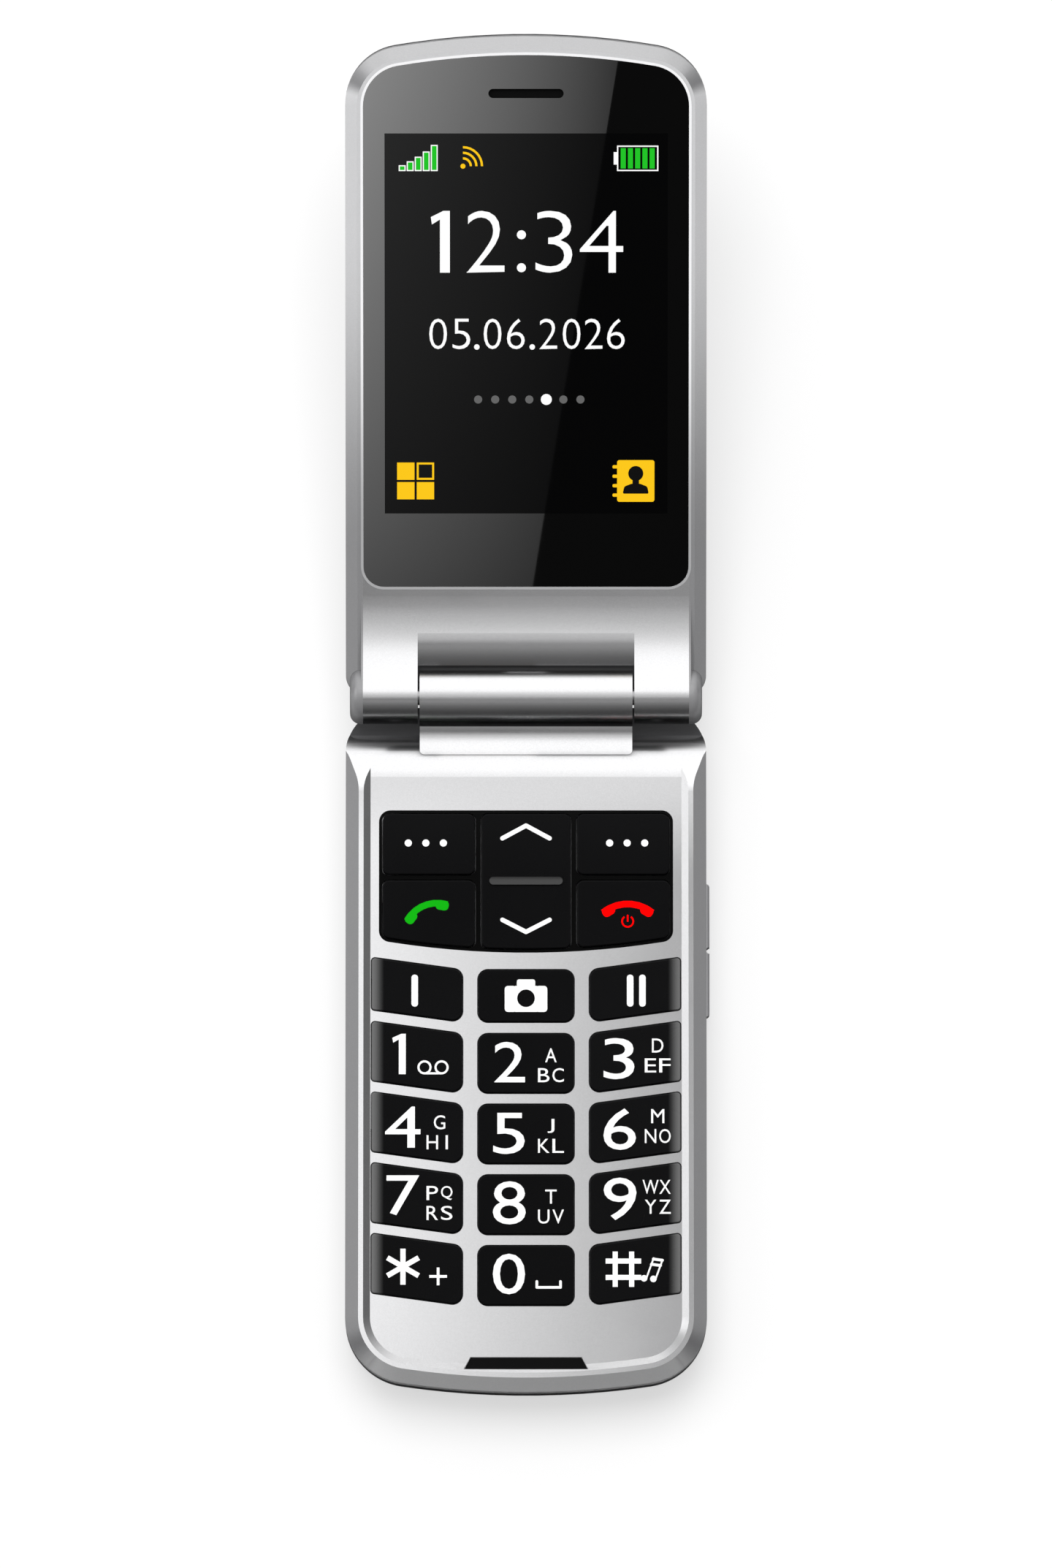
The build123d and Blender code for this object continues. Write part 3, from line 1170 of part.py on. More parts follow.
with BuildPart() as lid_magnet:
    with BuildSketch(lid_face.offset(LID_PARTING - MAGNET_SIZE[2])):
        with Locations((0, MAGNET_MIDDLE)):
            Rectangle(MAGNET_SIZE[0], MAGNET_SIZE[1])
    extrude(amount=MAGNET_SIZE[2])
write(lid_magnet.part, "lid_magnet")

with BuildPart() as outer_window:
    with BuildSketch(lid_face.offset(outer_glass_seat + FIT)):
        with Locations((0, outer_window_middle)):
            RectangleRounded(OUTER_WINDOW[0], OUTER_WINDOW[1], OUTER_WINDOW_CORNER)
    extrude(amount=OUTER_GLASS - FIT)
write(outer_window.part, "outer_window")

with BuildPart() as outer_display:
    with BuildSketch(lid_face.offset(lid_cell_floor - FIT - OUTER_SCREEN_THICKNESS)):
        with Locations((0, outer_window_middle)):
            Rectangle(OUTER_SCREEN + 2 * SCREEN_MARGIN, OUTER_SCREEN + 2 * SCREEN_MARGIN)
    extrude(amount=OUTER_SCREEN_THICKNESS)
write(outer_display.part, "outer_display")

with BuildPart() as camera_module:
    with BuildSketch(lid_face.offset(lid_board_back + FIT)):
        with Locations((0, camera_middle)):
            Rectangle(CAMERA_BODY[0], CAMERA_BODY[1])
    extrude(amount=CAMERA_BODY[2])
    with BuildSketch(lid_face.offset(lid_board_back + FIT)):
        with Locations((0, camera_middle)):
            Circle(CAMERA_LENS - CAMERA_PROUD)
    extrude(amount=LID_DEPTH - lid_board_back - LID_WALL)
write(camera_module.part, "camera_module")

with BuildPart() as camera_ring:
    with BuildSketch(lid_face.offset(lid_cell_floor)):
        with Locations((0, camera_middle)):
            Circle(CAMERA_RING)
            Circle(CAMERA_LENS, mode=Mode.SUBTRACT)
    extrude(amount=LID_DEPTH + CAMERA_PROUD - lid_cell_floor)
    fillet(edges().filter_by(GeomType.CIRCLE).sort_by(lid_axis)[-2:], CAMERA_PROUD / 2)
write(camera_ring.part, "camera_ring")

with BuildPart() as camera_lens:
    with BuildSketch(lid_face.offset(LID_DEPTH - CAMERA_GLASS)):
        with Locations((0, camera_middle)):
            Circle(CAMERA_LENS - FIT)
    extrude(amount=CAMERA_GLASS)
write(camera_lens.part, "camera_lens")

with BuildPart() as torch_lens:
    with BuildSketch(lid_face.offset(lid_cell_floor)):
        with Locations((TORCH_OFFSET, camera_middle)):
            Circle(TORCH_RADIUS)
    extrude(amount=LID_WALL)
write(torch_lens.part, "torch_lens")
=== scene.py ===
"""Dresses the flip phone: its finishes, key characters, display picture and studio."""

import json
import logging
from dataclasses import dataclass, field, replace
from enum import Enum
from functools import cache
from math import cos, pi, radians, sin, tan

import bmesh
import bpy
from mathutils import Matrix, Vector

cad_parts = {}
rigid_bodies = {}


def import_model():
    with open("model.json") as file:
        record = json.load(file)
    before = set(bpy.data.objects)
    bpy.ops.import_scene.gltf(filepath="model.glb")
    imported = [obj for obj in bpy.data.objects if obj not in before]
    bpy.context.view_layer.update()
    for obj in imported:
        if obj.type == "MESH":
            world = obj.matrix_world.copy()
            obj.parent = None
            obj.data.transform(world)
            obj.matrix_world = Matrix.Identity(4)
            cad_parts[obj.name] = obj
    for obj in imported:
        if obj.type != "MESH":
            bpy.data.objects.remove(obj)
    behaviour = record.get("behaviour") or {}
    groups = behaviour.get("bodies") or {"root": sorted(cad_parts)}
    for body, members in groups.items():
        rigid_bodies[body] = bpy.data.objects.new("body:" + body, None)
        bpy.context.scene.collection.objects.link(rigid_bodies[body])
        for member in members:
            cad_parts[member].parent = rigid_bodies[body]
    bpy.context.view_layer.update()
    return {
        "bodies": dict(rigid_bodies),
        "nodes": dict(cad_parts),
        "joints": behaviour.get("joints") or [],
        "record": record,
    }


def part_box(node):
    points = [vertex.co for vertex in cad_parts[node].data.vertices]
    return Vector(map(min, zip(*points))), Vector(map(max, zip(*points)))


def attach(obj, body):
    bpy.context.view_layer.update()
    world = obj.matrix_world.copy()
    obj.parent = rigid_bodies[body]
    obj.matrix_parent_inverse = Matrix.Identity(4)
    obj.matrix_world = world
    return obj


MM = 0.001
LID_RAISE = radians(15.0)
LOG = logging.getLogger("flip_phone")

Color = tuple[float, float, float]
Place = tuple[float, float, float]
Spot = tuple[float, float]
Feed = float | Color | bpy.types.NodeSocket
Outputs = bpy.types.bpy_prop_collection
UNLIT: Color = (0.002, 0.002, 0.002)
GREY: Color = (0.5, 0.5, 0.5)
WHITE: Color = (1.0, 1.0, 1.0)


class Slot(Enum):
    """Material slots of the record. No piece here is given one."""

    CASING = "silver_casing"
    KEYS = "key_black"
    DISPLAY = "display"


class Axis(Enum):
    """Directions that a painted sheen runs in."""

    ACROSS = "X"
    ALONG = "Y"


class Kind(Enum):
    """Kinds of socket that an effect has."""

    VALUE = "NodeSocketFloat"
    COLOR = "NodeSocketColor"


# ---------------------------------------------------------------------------
# Node trees
# ---------------------------------------------------------------------------
class NodeTree:
    """Adds nodes to a tree and joins them."""

    def __init__(self, tree: bpy.types.NodeTree) -> None:
        """Takes the tree that the nodes go into."""
        self.tree = tree

    def node(
        self, kind: str, feeds: dict[str | int, Feed] | None = None, **settings: object
    ) -> bpy.types.Node:
        """Adds a node, sets it up and feeds its sockets.

        Args:
            kind: Type name of the node, after ShaderNode.
            feeds: Sockets by name or number, with what feeds them.
            settings: Attributes of the node.

        Returns:
            The new node.
        """
        made = self.tree.nodes.new(f"ShaderNode{kind}")
        for name, value in settings.items():
            setattr(made, name, value)
        self.feed(made, feeds or {})
        return made

    def feed(self, node: bpy.types.Node, feeds: dict[str | int, Feed]) -> None:
        """Sets the sockets of a node, or links other sockets to them.

        Args:
            node: The node.
            feeds: Its sockets by name or number, with a value, a colour or the socket to link.
        """
        for name, feed in feeds.items():
            socket = node.inputs[name]
            if isinstance(feed, bpy.types.NodeSocket):
                self.tree.links.new(feed, socket)
            else:
                socket.default_value = (*feed, 1.0) if socket.type == "RGBA" else feed

    def place(self) -> bpy.types.NodeSocket:
        """Gives the place on the object."""
        return self.node("TexCoord").outputs["Object"]

    def parts(self, vector: Feed) -> Outputs:
        """Splits a place or direction into X, Y and Z."""
        return self.node("SeparateXYZ", {0: vector}).outputs

    def math(self, operation: str, *feeds: Feed) -> bpy.types.NodeSocket:
        """Gives the result of a sum."""
        return self.node("Math", dict(enumerate(feeds)), operation=operation).outputs[0]

    def dot(self, first: Feed, second: Feed) -> bpy.types.NodeSocket:
        """Gives how far one vector reaches along another."""
        return self.node("VectorMath", {0: first, 1: second}, operation="DOT_PRODUCT").outputs["Value"]

    def length(self, vector: Feed) -> bpy.types.NodeSocket:
        """Gives the distance from the origin."""
        return self.node("VectorMath", {0: vector}, operation="LENGTH").outputs["Value"]

    def spread(
        self,
        source: bpy.types.NodeSocket,
        span: tuple[Feed, Feed],
        to: Spot = (0.0, 1.0),
        smooth: bool = False,
    ) -> bpy.types.NodeSocket:
        """Spreads a value over another span and holds it within.

        Args:
            source: The value.
            span: Its start and end.
            to: Start and end of the result.
            smooth: Whether the result eases in and out.

        Returns:
            Socket of the result.
        """
        names = ("Value", "From Min", "From Max", "To Min", "To Max")
        feeds = dict(zip(names, (source, *span, *to)))
        ease = "SMOOTHSTEP" if smooth else "LINEAR"
        return self.node("MapRange", feeds, interpolation_type=ease).outputs["Result"]

    def blend(
        self, share: Feed, first: Feed, second: Feed, blend_type: str = "MIX"
    ) -> bpy.types.NodeSocket:
        """Mixes two colours.

        Args:
            share: Share of the second colour.
            first: First colour.
            second: Second colour.
            blend_type: The way in which the second goes over the first.

        Returns:
            Socket of the mixed colour.
        """
        feeds = {"Factor": share, "A": first, "B": second}
        return self.node("Mix", feeds, data_type="RGBA", blend_type=blend_type).outputs["Result"]

    def mix(self, share: Feed, first: Feed, second: Feed) -> bpy.types.NodeSocket:
        """Mixes two shaders by the share of the second."""
        return self.node("MixShader", {0: share, 1: first, 2: second}).outputs[0]

    def effect(self, group: bpy.types.ShaderNodeTree, feeds: dict[str, Feed]) -> Outputs:
        """Places an effect with its own values and gives its outputs."""
        return self.node("Group", feeds, node_tree=group).outputs


class EffectGroup(NodeTree):
    """A shader node group with named sockets, shared by the finishes."""

    MIDDLE = 0.5

    def __init__(
        self, name: str, inputs: dict[str, float | Color], outputs: dict[str, Kind]
    ) -> None:
        """Makes an empty group.

        Args:
            name: Name of the group.
            inputs: Socket names with their default values.
            outputs: Socket names with their kinds.
        """
        super().__init__(bpy.data.node_groups.new(name, "ShaderNodeTree"))
        for socket, value in inputs.items():
            plain = isinstance(value, float)
            kind = Kind.VALUE if plain else Kind.COLOR
            made = self.tree.interface.new_socket(socket, in_out="INPUT", socket_type=kind.value)
            made.default_value = value if plain else (*value, 1.0)
        for socket, kind in outputs.items():
            self.tree.interface.new_socket(socket, in_out="OUTPUT", socket_type=kind.value)
        self.inlet = self.tree.nodes.new("NodeGroupInput").outputs
        self.outlet = self.tree.nodes.new("NodeGroupOutput")

    def tinted(self, share: bpy.types.NodeSocket) -> bpy.types.NodeSocket:
        """Lightens and darkens the group's Color by its Amount.

        Args:
            share: Value from 0 for darkest to 1 for lightest.

        Returns:
            Socket of the tinted colour.
        """
        centred = self.math("SUBTRACT", share, self.MIDDLE)
        swing = self.math("MULTIPLY_ADD", centred, self.inlet["Amount"], 1.0)
        feeds = {0: self.inlet["Color"], "Scale": swing}
        return self.node("VectorMath", feeds, operation="SCALE").outputs[0]


# ---------------------------------------------------------------------------
# Finishes
# ---------------------------------------------------------------------------
class Effects:
    """The effects that more than one finish uses, each made once."""

    # Spans over which a rim's face comes to count as slanted, turned to the end and so on.
    SLANTED: Spot = (0.4, 0.5)
    TURNED: Spot = (0.3, 0.65)
    DIAGONAL: Spot = (0.09, 0.2)
    SIDEWAYS: Spot = (0.35, 0.6)
    RAISED: Spot = (0.3, 0.45)
    # Distances from the hinge between which a rim's sides go from their near to their far painted
    # reflection tone, in metres.
    TONE_CHANGE: Spot = (0.028, 0.08)
    # Part of the noise that shows as smudges.
    SMUDGED: Spot = (0.35, 0.75)

    @staticmethod
    @cache
    def tone_drift() -> bpy.types.ShaderNodeTree:
        """Colour that drifts slowly lighter and darker over a surface.

        Returns:
            The node group, with Color, Amount and Scale in and Color out.
        """
        inputs = {"Color": GREY, "Amount": 0.05, "Scale": 40.0}
        group = EffectGroup("Tone drift", inputs, {"Color": Kind.COLOR})
        feeds = {"Vector": group.place(), "Scale": group.inlet["Scale"], "Detail": 4.0}
        noise = group.node("TexNoise", feeds)
        group.feed(group.outlet, {"Color": group.tinted(noise.outputs["Fac"])})
        return group.tree

    @staticmethod
    @cache
    def handling() -> bpy.types.ShaderNodeTree:
        """Roughness with faint smudges from handling.

        Returns:
            The node group, with Roughness, Amount and Scale in and Roughness out.
        """
        inputs = {"Roughness": 0.3, "Amount": 0.05, "Scale": 90.0}
        group = EffectGroup("Handling", inputs, {"Roughness": Kind.VALUE})
        feeds = {"Vector": group.place(), "Scale": group.inlet["Scale"], "Detail": 6.0, "Distortion": 0.8}
        patches = group.node("TexNoise", feeds)
        smudges = group.spread(patches.outputs["Fac"], Effects.SMUDGED)
        rough = group.math("MULTIPLY_ADD", smudges, group.inlet["Amount"], group.inlet["Roughness"])
        group.feed(group.outlet, {"Roughness": rough})
        return group.tree

    @staticmethod
    @cache
    def grain() -> bpy.types.ShaderNodeTree:
        """Height of a fine moulded or sprayed grain.

        Returns:
            The node group, with Scale and Pits in and Height out.
        """
        group = EffectGroup("Grain", {"Scale": 3000.0, "Pits": 0.5}, {"Height": Kind.VALUE})
        feeds = {"Vector": group.place(), "Scale": group.inlet["Scale"]}
        noise = group.node("TexNoise", {**feeds, "Detail": 2.0})
        cells = group.node("TexVoronoi", feeds, feature="SMOOTH_F1")
        heights = {
            "Factor": group.inlet["Pits"],
            "A": noise.outputs["Fac"],
            "B": cells.outputs["Distance"],
        }
        joined = group.node("Mix", heights, data_type="FLOAT")
        group.feed(group.outlet, {"Height": joined.outputs["Result"]})
        return group.tree

    @staticmethod
    @cache
    def flakes() -> bpy.types.ShaderNodeTree:
        """Sparkle of the metal flakes in a paint.

        Returns:
            The node group, with Color, Amount and Scale in and Color out.
        """
        inputs = {"Color": GREY, "Amount": 0.08, "Scale": 7000.0}
        group = EffectGroup("Paint flakes", inputs, {"Color": Kind.COLOR})
        feeds = {"Vector": group.place(), "Scale": group.inlet["Scale"]}
        cells = group.node("TexVoronoi", feeds, feature="F1")
        parted = group.node("SeparateColor", {"Color": cells.outputs["Color"]})
        group.feed(group.outlet, {"Color": group.tinted(parted.outputs["Red"])})
        return group.tree

    @staticmethod
    @cache
    def sheen(axis: Axis) -> bpy.types.ShaderNodeTree:
        """Painted highlight: colour lightened towards a rounded edge, in place of the light that gathers
        there.

        Args:
            axis: Direction across the edge. Distances count to either side of the middle.

        Returns:
            The node group, with Color, Sheen, Start and End in and Color out.
        """
        inputs = {"Color": GREY, "PaintedSheen": GREY, "Start": 0.0, "End": 0.001}
        group = EffectGroup(f"Sheen {axis.value}", inputs, {"Color": Kind.COLOR})
        away = group.math("ABSOLUTE", group.parts(group.place())[axis.value])
        share = group.spread(away, (group.inlet["Start"], group.inlet["End"]), smooth=True)
        lit = group.blend(share, group.inlet["Color"], group.inlet["PaintedSheen"])
        group.feed(group.outlet, {"Color": lit})
        return group.tree

    @staticmethod
    @cache
    def rim() -> bpy.types.ShaderNodeTree:
        """Marks the slanted rim along a shell's sides and round its free end, where the painted reflection
        and shade tones go.

        Returns:
            The node group. In go the Y and Z of the end's direction, the distance at which
            the Tip starts, and the limits Beyond and Out past which all is rim. Out come
            the masks Sides, Along, Corner and Tip.
        """
        group = EffectGroup(
            "RimPaintedLight",
            {"End Y": -1.0, "End Z": 0.0, "Tip": 0.085, "Beyond": 1.0, "Out": 1.0},
            dict.fromkeys(("Sides", "Along", "Corner", "Tip"), Kind.VALUE),
        )
        spot = group.node("TexCoord").outputs
        where, facing = group.parts(spot["Object"]), group.parts(spot["Normal"])
        end = {"Y": group.inlet["End Y"], "Z": group.inlet["End Z"]}
        way = group.node("CombineXYZ", end).outputs[0]
        reach = group.dot(spot["Object"], way)
        endward = group.dot(spot["Normal"], way)
        outward = group.math("MULTIPLY", group.math("SIGN", where["X"]), facing["X"])
        slanted = group.spread(outward, Effects.SLANTED, smooth=True)
        outer = group.math("GREATER_THAN", group.math("ABSOLUTE", where["X"]), group.inlet["Out"])
        upper = group.math("GREATER_THAN", reach, group.inlet["Beyond"])
        in_tip = group.math("GREATER_THAN", reach, group.inlet["Tip"])
        turned = group.spread(endward, Effects.TURNED, smooth=True)
        diagonal = group.spread(group.math("MULTIPLY", outward, endward), Effects.DIAGONAL, smooth=True)
        sideways = group.spread(outward, Effects.SIDEWAYS, smooth=True)
        raised = group.spread(facing["Z"], Effects.RAISED, smooth=True)
        # Along carries the painted reflection that changes with distance from the hinge; Corner and Tip
        # take painted shade and reflection tones.
        masks = {
            "Sides": group.math("MAXIMUM", slanted, group.math("MAXIMUM", outer, upper)),
            "Along": group.spread(reach, Effects.TONE_CHANGE, smooth=True),
            "Corner": group.math("MULTIPLY", group.math("MULTIPLY", diagonal, sideways), raised),
            "Tip": group.math("MULTIPLY", turned, in_tip),
        }
        group.feed(group.outlet, masks)
        return group.tree


@dataclass(frozen=True)
class PaintedSheen:
    """Painted highlight: lighter colour towards one edge, in place of a sheen of light. Distances in
    millimetres from the hinge's middle.
    """

    axis: Axis
    color: Color
    start: float
    end: float


@dataclass(frozen=True)
class RimPaintedLight:
    """Rim of a silver shell in a duller grey, partly a two-tone rim and partly painted reflection and
    shade: near and far tones along its sides, darker corners and a tip tone at the free end. The end's
    direction is its Y and Z parts. Distances in metres.
    """

    end: Spot
    near: Color
    far: Color
    corner: Color
    tip: Color
    tip_start: float = 0.085
    beyond: float = 1.0
    out: float = 1.0
    metallic: float = 0.15


@dataclass(frozen=True)
class Finish:
    """One finish of the phone's surfaces."""

    name: str
    color: Color
    roughness: float
    metallic: float = 0.0
    specular: float = 0.5
    ior: float = 1.5
    coat: float = 0.0
    coat_roughness: float = 0.08
    drift: float = 0.04
    drift_scale: float = 60.0
    smudge: float = 0.03
    smudge_scale: float = 110.0
    grain: float = 0.0
    grain_scale: float = 3000.0
    pits: float = 0.5
    flakes: float = 0.0
    flake_scale: float = 7000.0
    glow: float = 0.0
    sheen: PaintedSheen | None = None
    rim: RimPaintedLight | None = None

    @cache
    def material(self) -> bpy.types.Material:
        """Makes the finish as a node material, once.

        Returns:
            The material.
        """
        made = bpy.data.materials.new(self.name)
        made.use_nodes = True
        tree = NodeTree(made.node_tree)
        feeds = {
            "Metallic": self.metallic,
            "Specular IOR Level": self.specular,
            "IOR": self.ior,
            "Coat Weight": self.coat,
            "Coat Roughness": self.coat_roughness,
        }
        paint = self.color
        if self.rim:
            paint, feeds["Metallic"] = self._rim(tree)
        values = {"Color": paint, "Amount": self.drift, "Scale": self.drift_scale}
        paint = tree.effect(Effects.tone_drift(), values)["Color"]
        if self.flakes:
            values = {"Color": paint, "Amount": self.flakes, "Scale": self.flake_scale}
            paint = tree.effect(Effects.flakes(), values)["Color"]
        # Painted highlight: the colour is lightened towards an edge where light would gather.
        if self.sheen:
            edge = self.sheen
            values = {"Color": paint, "PaintedSheen": edge.color, "Start": edge.start * MM, "End": edge.end * MM}
            paint = tree.effect(Effects.sheen(edge.axis), values)["Color"]
        if self.glow:
            feeds |= {"Base Color": UNLIT, "Emission Color": paint, "Emission Strength": self.glow}
        else:
            feeds["Base Color"] = paint
        values = {"Roughness": self.roughness, "Amount": self.smudge, "Scale": self.smudge_scale}
        feeds["Roughness"] = tree.effect(Effects.handling(), values)["Roughness"]
        if self.grain:
            values = {"Scale": self.grain_scale, "Pits": self.pits}
            height = tree.effect(Effects.grain(), values)["Height"]
            bump = tree.node("Bump", {"Distance": self.grain, "Strength": 1.0, "Height": height})
            feeds["Normal"] = bump.outputs["Normal"]
        tree.feed(made.node_tree.nodes["Principled BSDF"], feeds)
        return made

    def _rim(self, tree: NodeTree) -> tuple[bpy.types.NodeSocket, bpy.types.NodeSocket]:
        """Gives the rim its colours, partly its own grey and partly painted reflection and shade, and less
        metal.

        Args:
            tree: Node tree of the material.

        Returns:
            Sockets of the colour and of the share of metal.
        """
        rim = self.rim
        ends = dict(zip(("End Y", "End Z"), rim.end))
        limits = {"Tip": rim.tip_start, "Beyond": rim.beyond, "Out": rim.out}
        edge = tree.effect(Effects.rim(), ends | limits)
        sides = tree.blend(edge["Along"], rim.near, rim.far)
        sides = tree.blend(edge["Corner"], sides, rim.corner)
        paint = tree.blend(edge["Tip"], tree.blend(edge["Sides"], self.color, sides), rim.tip)
        either = tree.math("MAXIMUM", edge["Sides"], edge["Tip"])
        return paint, tree.spread(either, (0.0, 1.0), (self.metallic, rim.metallic))


SILVER_PAINT = Finish(
    "silver_paint",
    (0.8, 0.8, 0.81),
    roughness=0.24,
    metallic=1.0,
    drift=0.03,
    smudge=0.03,
    grain=0.000002,
    grain_scale=5000.0,
    flakes=0.05,
)
# Base shell: its rim carries painted reflection and shade, darker at the corners and lighter at the foot.
BASE_SILVER = replace(
    SILVER_PAINT,
    name="base_silver_paint",
    rim=RimPaintedLight(
        end=(-1.0, 0.0),
        near=(0.24, 0.24, 0.245),
        far=(0.24, 0.24, 0.245),
        corner=(0.17, 0.17, 0.175),
        tip=(0.48, 0.48, 0.485),
    ),
)
# Lid shell: its rim carries painted reflection and shade, lighter away from the hinge and darker at the
# corners.
LID_SILVER = replace(
    SILVER_PAINT,
    name="lid_silver_paint",
    rim=RimPaintedLight(
        end=(cos(LID_RAISE), sin(LID_RAISE)),
        near=(0.24, 0.24, 0.245),
        far=(0.6, 0.6, 0.61),
        corner=(0.2, 0.2, 0.205),
        tip=(0.37, 0.37, 0.375),
        beyond=0.031,
        out=0.0249,
    ),
)
GRAPHITE = Finish(
    "graphite_plastic", (0.035, 0.035, 0.038), roughness=0.42, grain=0.00002, grain_scale=3200.0, drift=0.1
)
SILVER_PLASTIC = Finish(
    "silver_plastic", (0.5, 0.5, 0.515), roughness=0.3, metallic=0.75, grain=0.000005, flakes=0.05
)
KEY_BLACK = Finish(
    "black_key_plastic", (0.0035, 0.0035, 0.0038), roughness=0.26, specular=0.06, drift=0.3, grain=0.000002
)
# Side keys: black, with a painted highlight that lightens their outer edges.
KEY_EDGE_SHEEN = replace(
    KEY_BLACK,
    name="black_key_painted_sheen",
    specular=0.1,
    sheen=PaintedSheen(Axis.ACROSS, (0.13, 0.13, 0.13), 21.6, 23.6),
)
# Painted highlight on the lit side of the rocker's ridge: near-black, lightened towards one edge.
RIDGE_PAINTED_HIGHLIGHT = Finish(
    "ridge_painted_highlight",
    (0.003, 0.003, 0.003),
    roughness=0.3,
    specular=0.1,
    sheen=PaintedSheen(Axis.ALONG, (0.05, 0.05, 0.05), 23.4, 24.5),
)
# Painted highlight for the window's edge: grey near the hinge, lightened further along the lid.
WINDOW_HIGHLIGHT = Finish(
    "painted_highlight_trim",
    (0.36, 0.36, 0.365),
    roughness=0.3,
    grain=0.000002,
    sheen=PaintedSheen(Axis.ALONG, (0.82, 0.82, 0.83), 28.0, 60.0),
)
BEZEL_BLACK = Finish("bezel_black", (0.002, 0.002, 0.002), roughness=0.25, specular=0.06, drift=0.2)
NOTCH_BLACK = Finish("notch_black", (0.002, 0.002, 0.002), roughness=0.5, specular=0.1, grain=0.00001)
WINDOW_GLASS = Finish(
    "window_glass", (0.0004, 0.0004, 0.0004), roughness=0.005, specular=0.1, drift=0.3, smudge=0.005
)
SCREEN_FILM = Finish(
    "screen_film", (0.0015, 0.0015, 0.0016), roughness=0.008, specular=0.0095, drift=0.1, smudge=0.005
)
SCREEN_DARK = Finish("picture_black", (0.004, 0.004, 0.004), roughness=0.5, specular=0.0, glow=1.0)
WHITE_PRINT = Finish("white_print", (0.86, 0.86, 0.86), roughness=0.5, specular=0.3, drift=0.02)
GREEN_PRINT = Finish("green_print", (0.004, 0.38, 0.004), roughness=0.4, specular=0.05)
RED_PRINT = Finish("red_print", (0.95, 0.0, 0.0), roughness=0.4, specular=0.02)
LIGHT_WHITE = Finish("picture_white", (1.0, 1.0, 1.0), roughness=0.5, specular=0.0, glow=1.0, drift=0.01)
LIGHT_GREEN = Finish("picture_green", (0.015, 0.55, 0.02), roughness=0.5, specular=0.0, glow=1.0)
LIGHT_YELLOW = Finish("picture_yellow", (0.98, 0.58, 0.01), roughness=0.5, specular=0.0, glow=1.0)
LIGHT_GREY = Finish("picture_grey", (0.13, 0.13, 0.13), roughness=0.5, specular=0.0, glow=1.0)
STEEL = Finish("bare_steel", (0.5, 0.5, 0.51), roughness=0.3, metallic=1.0, grain=0.000004)
BRIGHT_RING = Finish("polished_ring", (0.75, 0.75, 0.77), roughness=0.12, metallic=1.0, drift=0.03)
GOLD = Finish("gold_plate", (0.83, 0.58, 0.22), roughness=0.25, metallic=1.0, drift=0.08)
RUBBER = Finish("moulded_rubber", (0.3, 0.3, 0.31), roughness=0.6, grain=0.00001)
BOARD = Finish("green_board", (0.015, 0.11, 0.04), roughness=0.4, drift=0.25, drift_scale=300.0)
WRAP = Finish("battery_sleeve", (0.06, 0.062, 0.07), roughness=0.35, drift=0.1, grain=0.000006)
COMPONENT = Finish("black_component", (0.02, 0.02, 0.02), roughness=0.5, grain=0.00001)
GRILLE = Finish("grille_mesh", (0.002, 0.002, 0.002), roughness=0.6, specular=0.1, grain=0.00002)
FLEX = Finish("flex_amber", (0.42, 0.16, 0.02), roughness=0.35, drift=0.1)
LENS = Finish("camera_glass", (0.004, 0.004, 0.007), roughness=0.02, specular=0.8, coat=1.0)
TORCH = Finish(
    "frosted_lens", (0.85, 0.83, 0.72), roughness=0.25, drift=0.1, grain=0.00002, grain_scale=900.0
)

SLOT_FINISHES: dict[str, Finish] = {
    "silver_casing": SILVER_PAINT,
    "graphite_casing": GRAPHITE,
    "key_black": KEY_BLACK,
    "silicone": RUBBER,
    "dome_metal": STEEL,
    "circuit_board": BOARD,
    "battery_wrap": WRAP,
    "contact_gold": GOLD,
    "component_black": COMPONENT,
    "steel": STEEL,
    "flex": FLEX,
    "screen_glass": WINDOW_GLASS,
    "display": SCREEN_FILM,
    "ring_metal": BRIGHT_RING,
    "torch_plastic": TORCH,
}
LEFT_KEYS = ("key_1", "key_4", "key_7", "key_star", "memory_one_key")
RIGHT_KEYS = ("key_3", "key_6", "key_9", "key_hash", "memory_two_key")
NODE_FINISHES: dict[str, Finish] = {
    "front_housing": BASE_SILVER,
    "lid_front": LID_SILVER,
    "nav_bezel": BEZEL_BLACK,
    "finger_notch_pad": NOTCH_BLACK,
    "camera_lens": LENS,
    "volume_rocker": SILVER_PLASTIC,
    "earpiece_grille": GRILLE,
    **dict.fromkeys(LEFT_KEYS + RIGHT_KEYS, KEY_EDGE_SHEEN),
}

# Silver parts that leave only the room to be seen in the ones beside them.
PLAIN_REFLECTIONS = ("lid_front", "front_housing", "hinge_barrel")


def empty_material(name: str) -> bpy.types.Material:
    """Makes a material without nodes.

    Args:
        name: Name of the material.

    Returns:
        The material.
    """
    made = bpy.data.materials.new(name)
    made.use_nodes = True
    made.node_tree.nodes.clear()
    return made


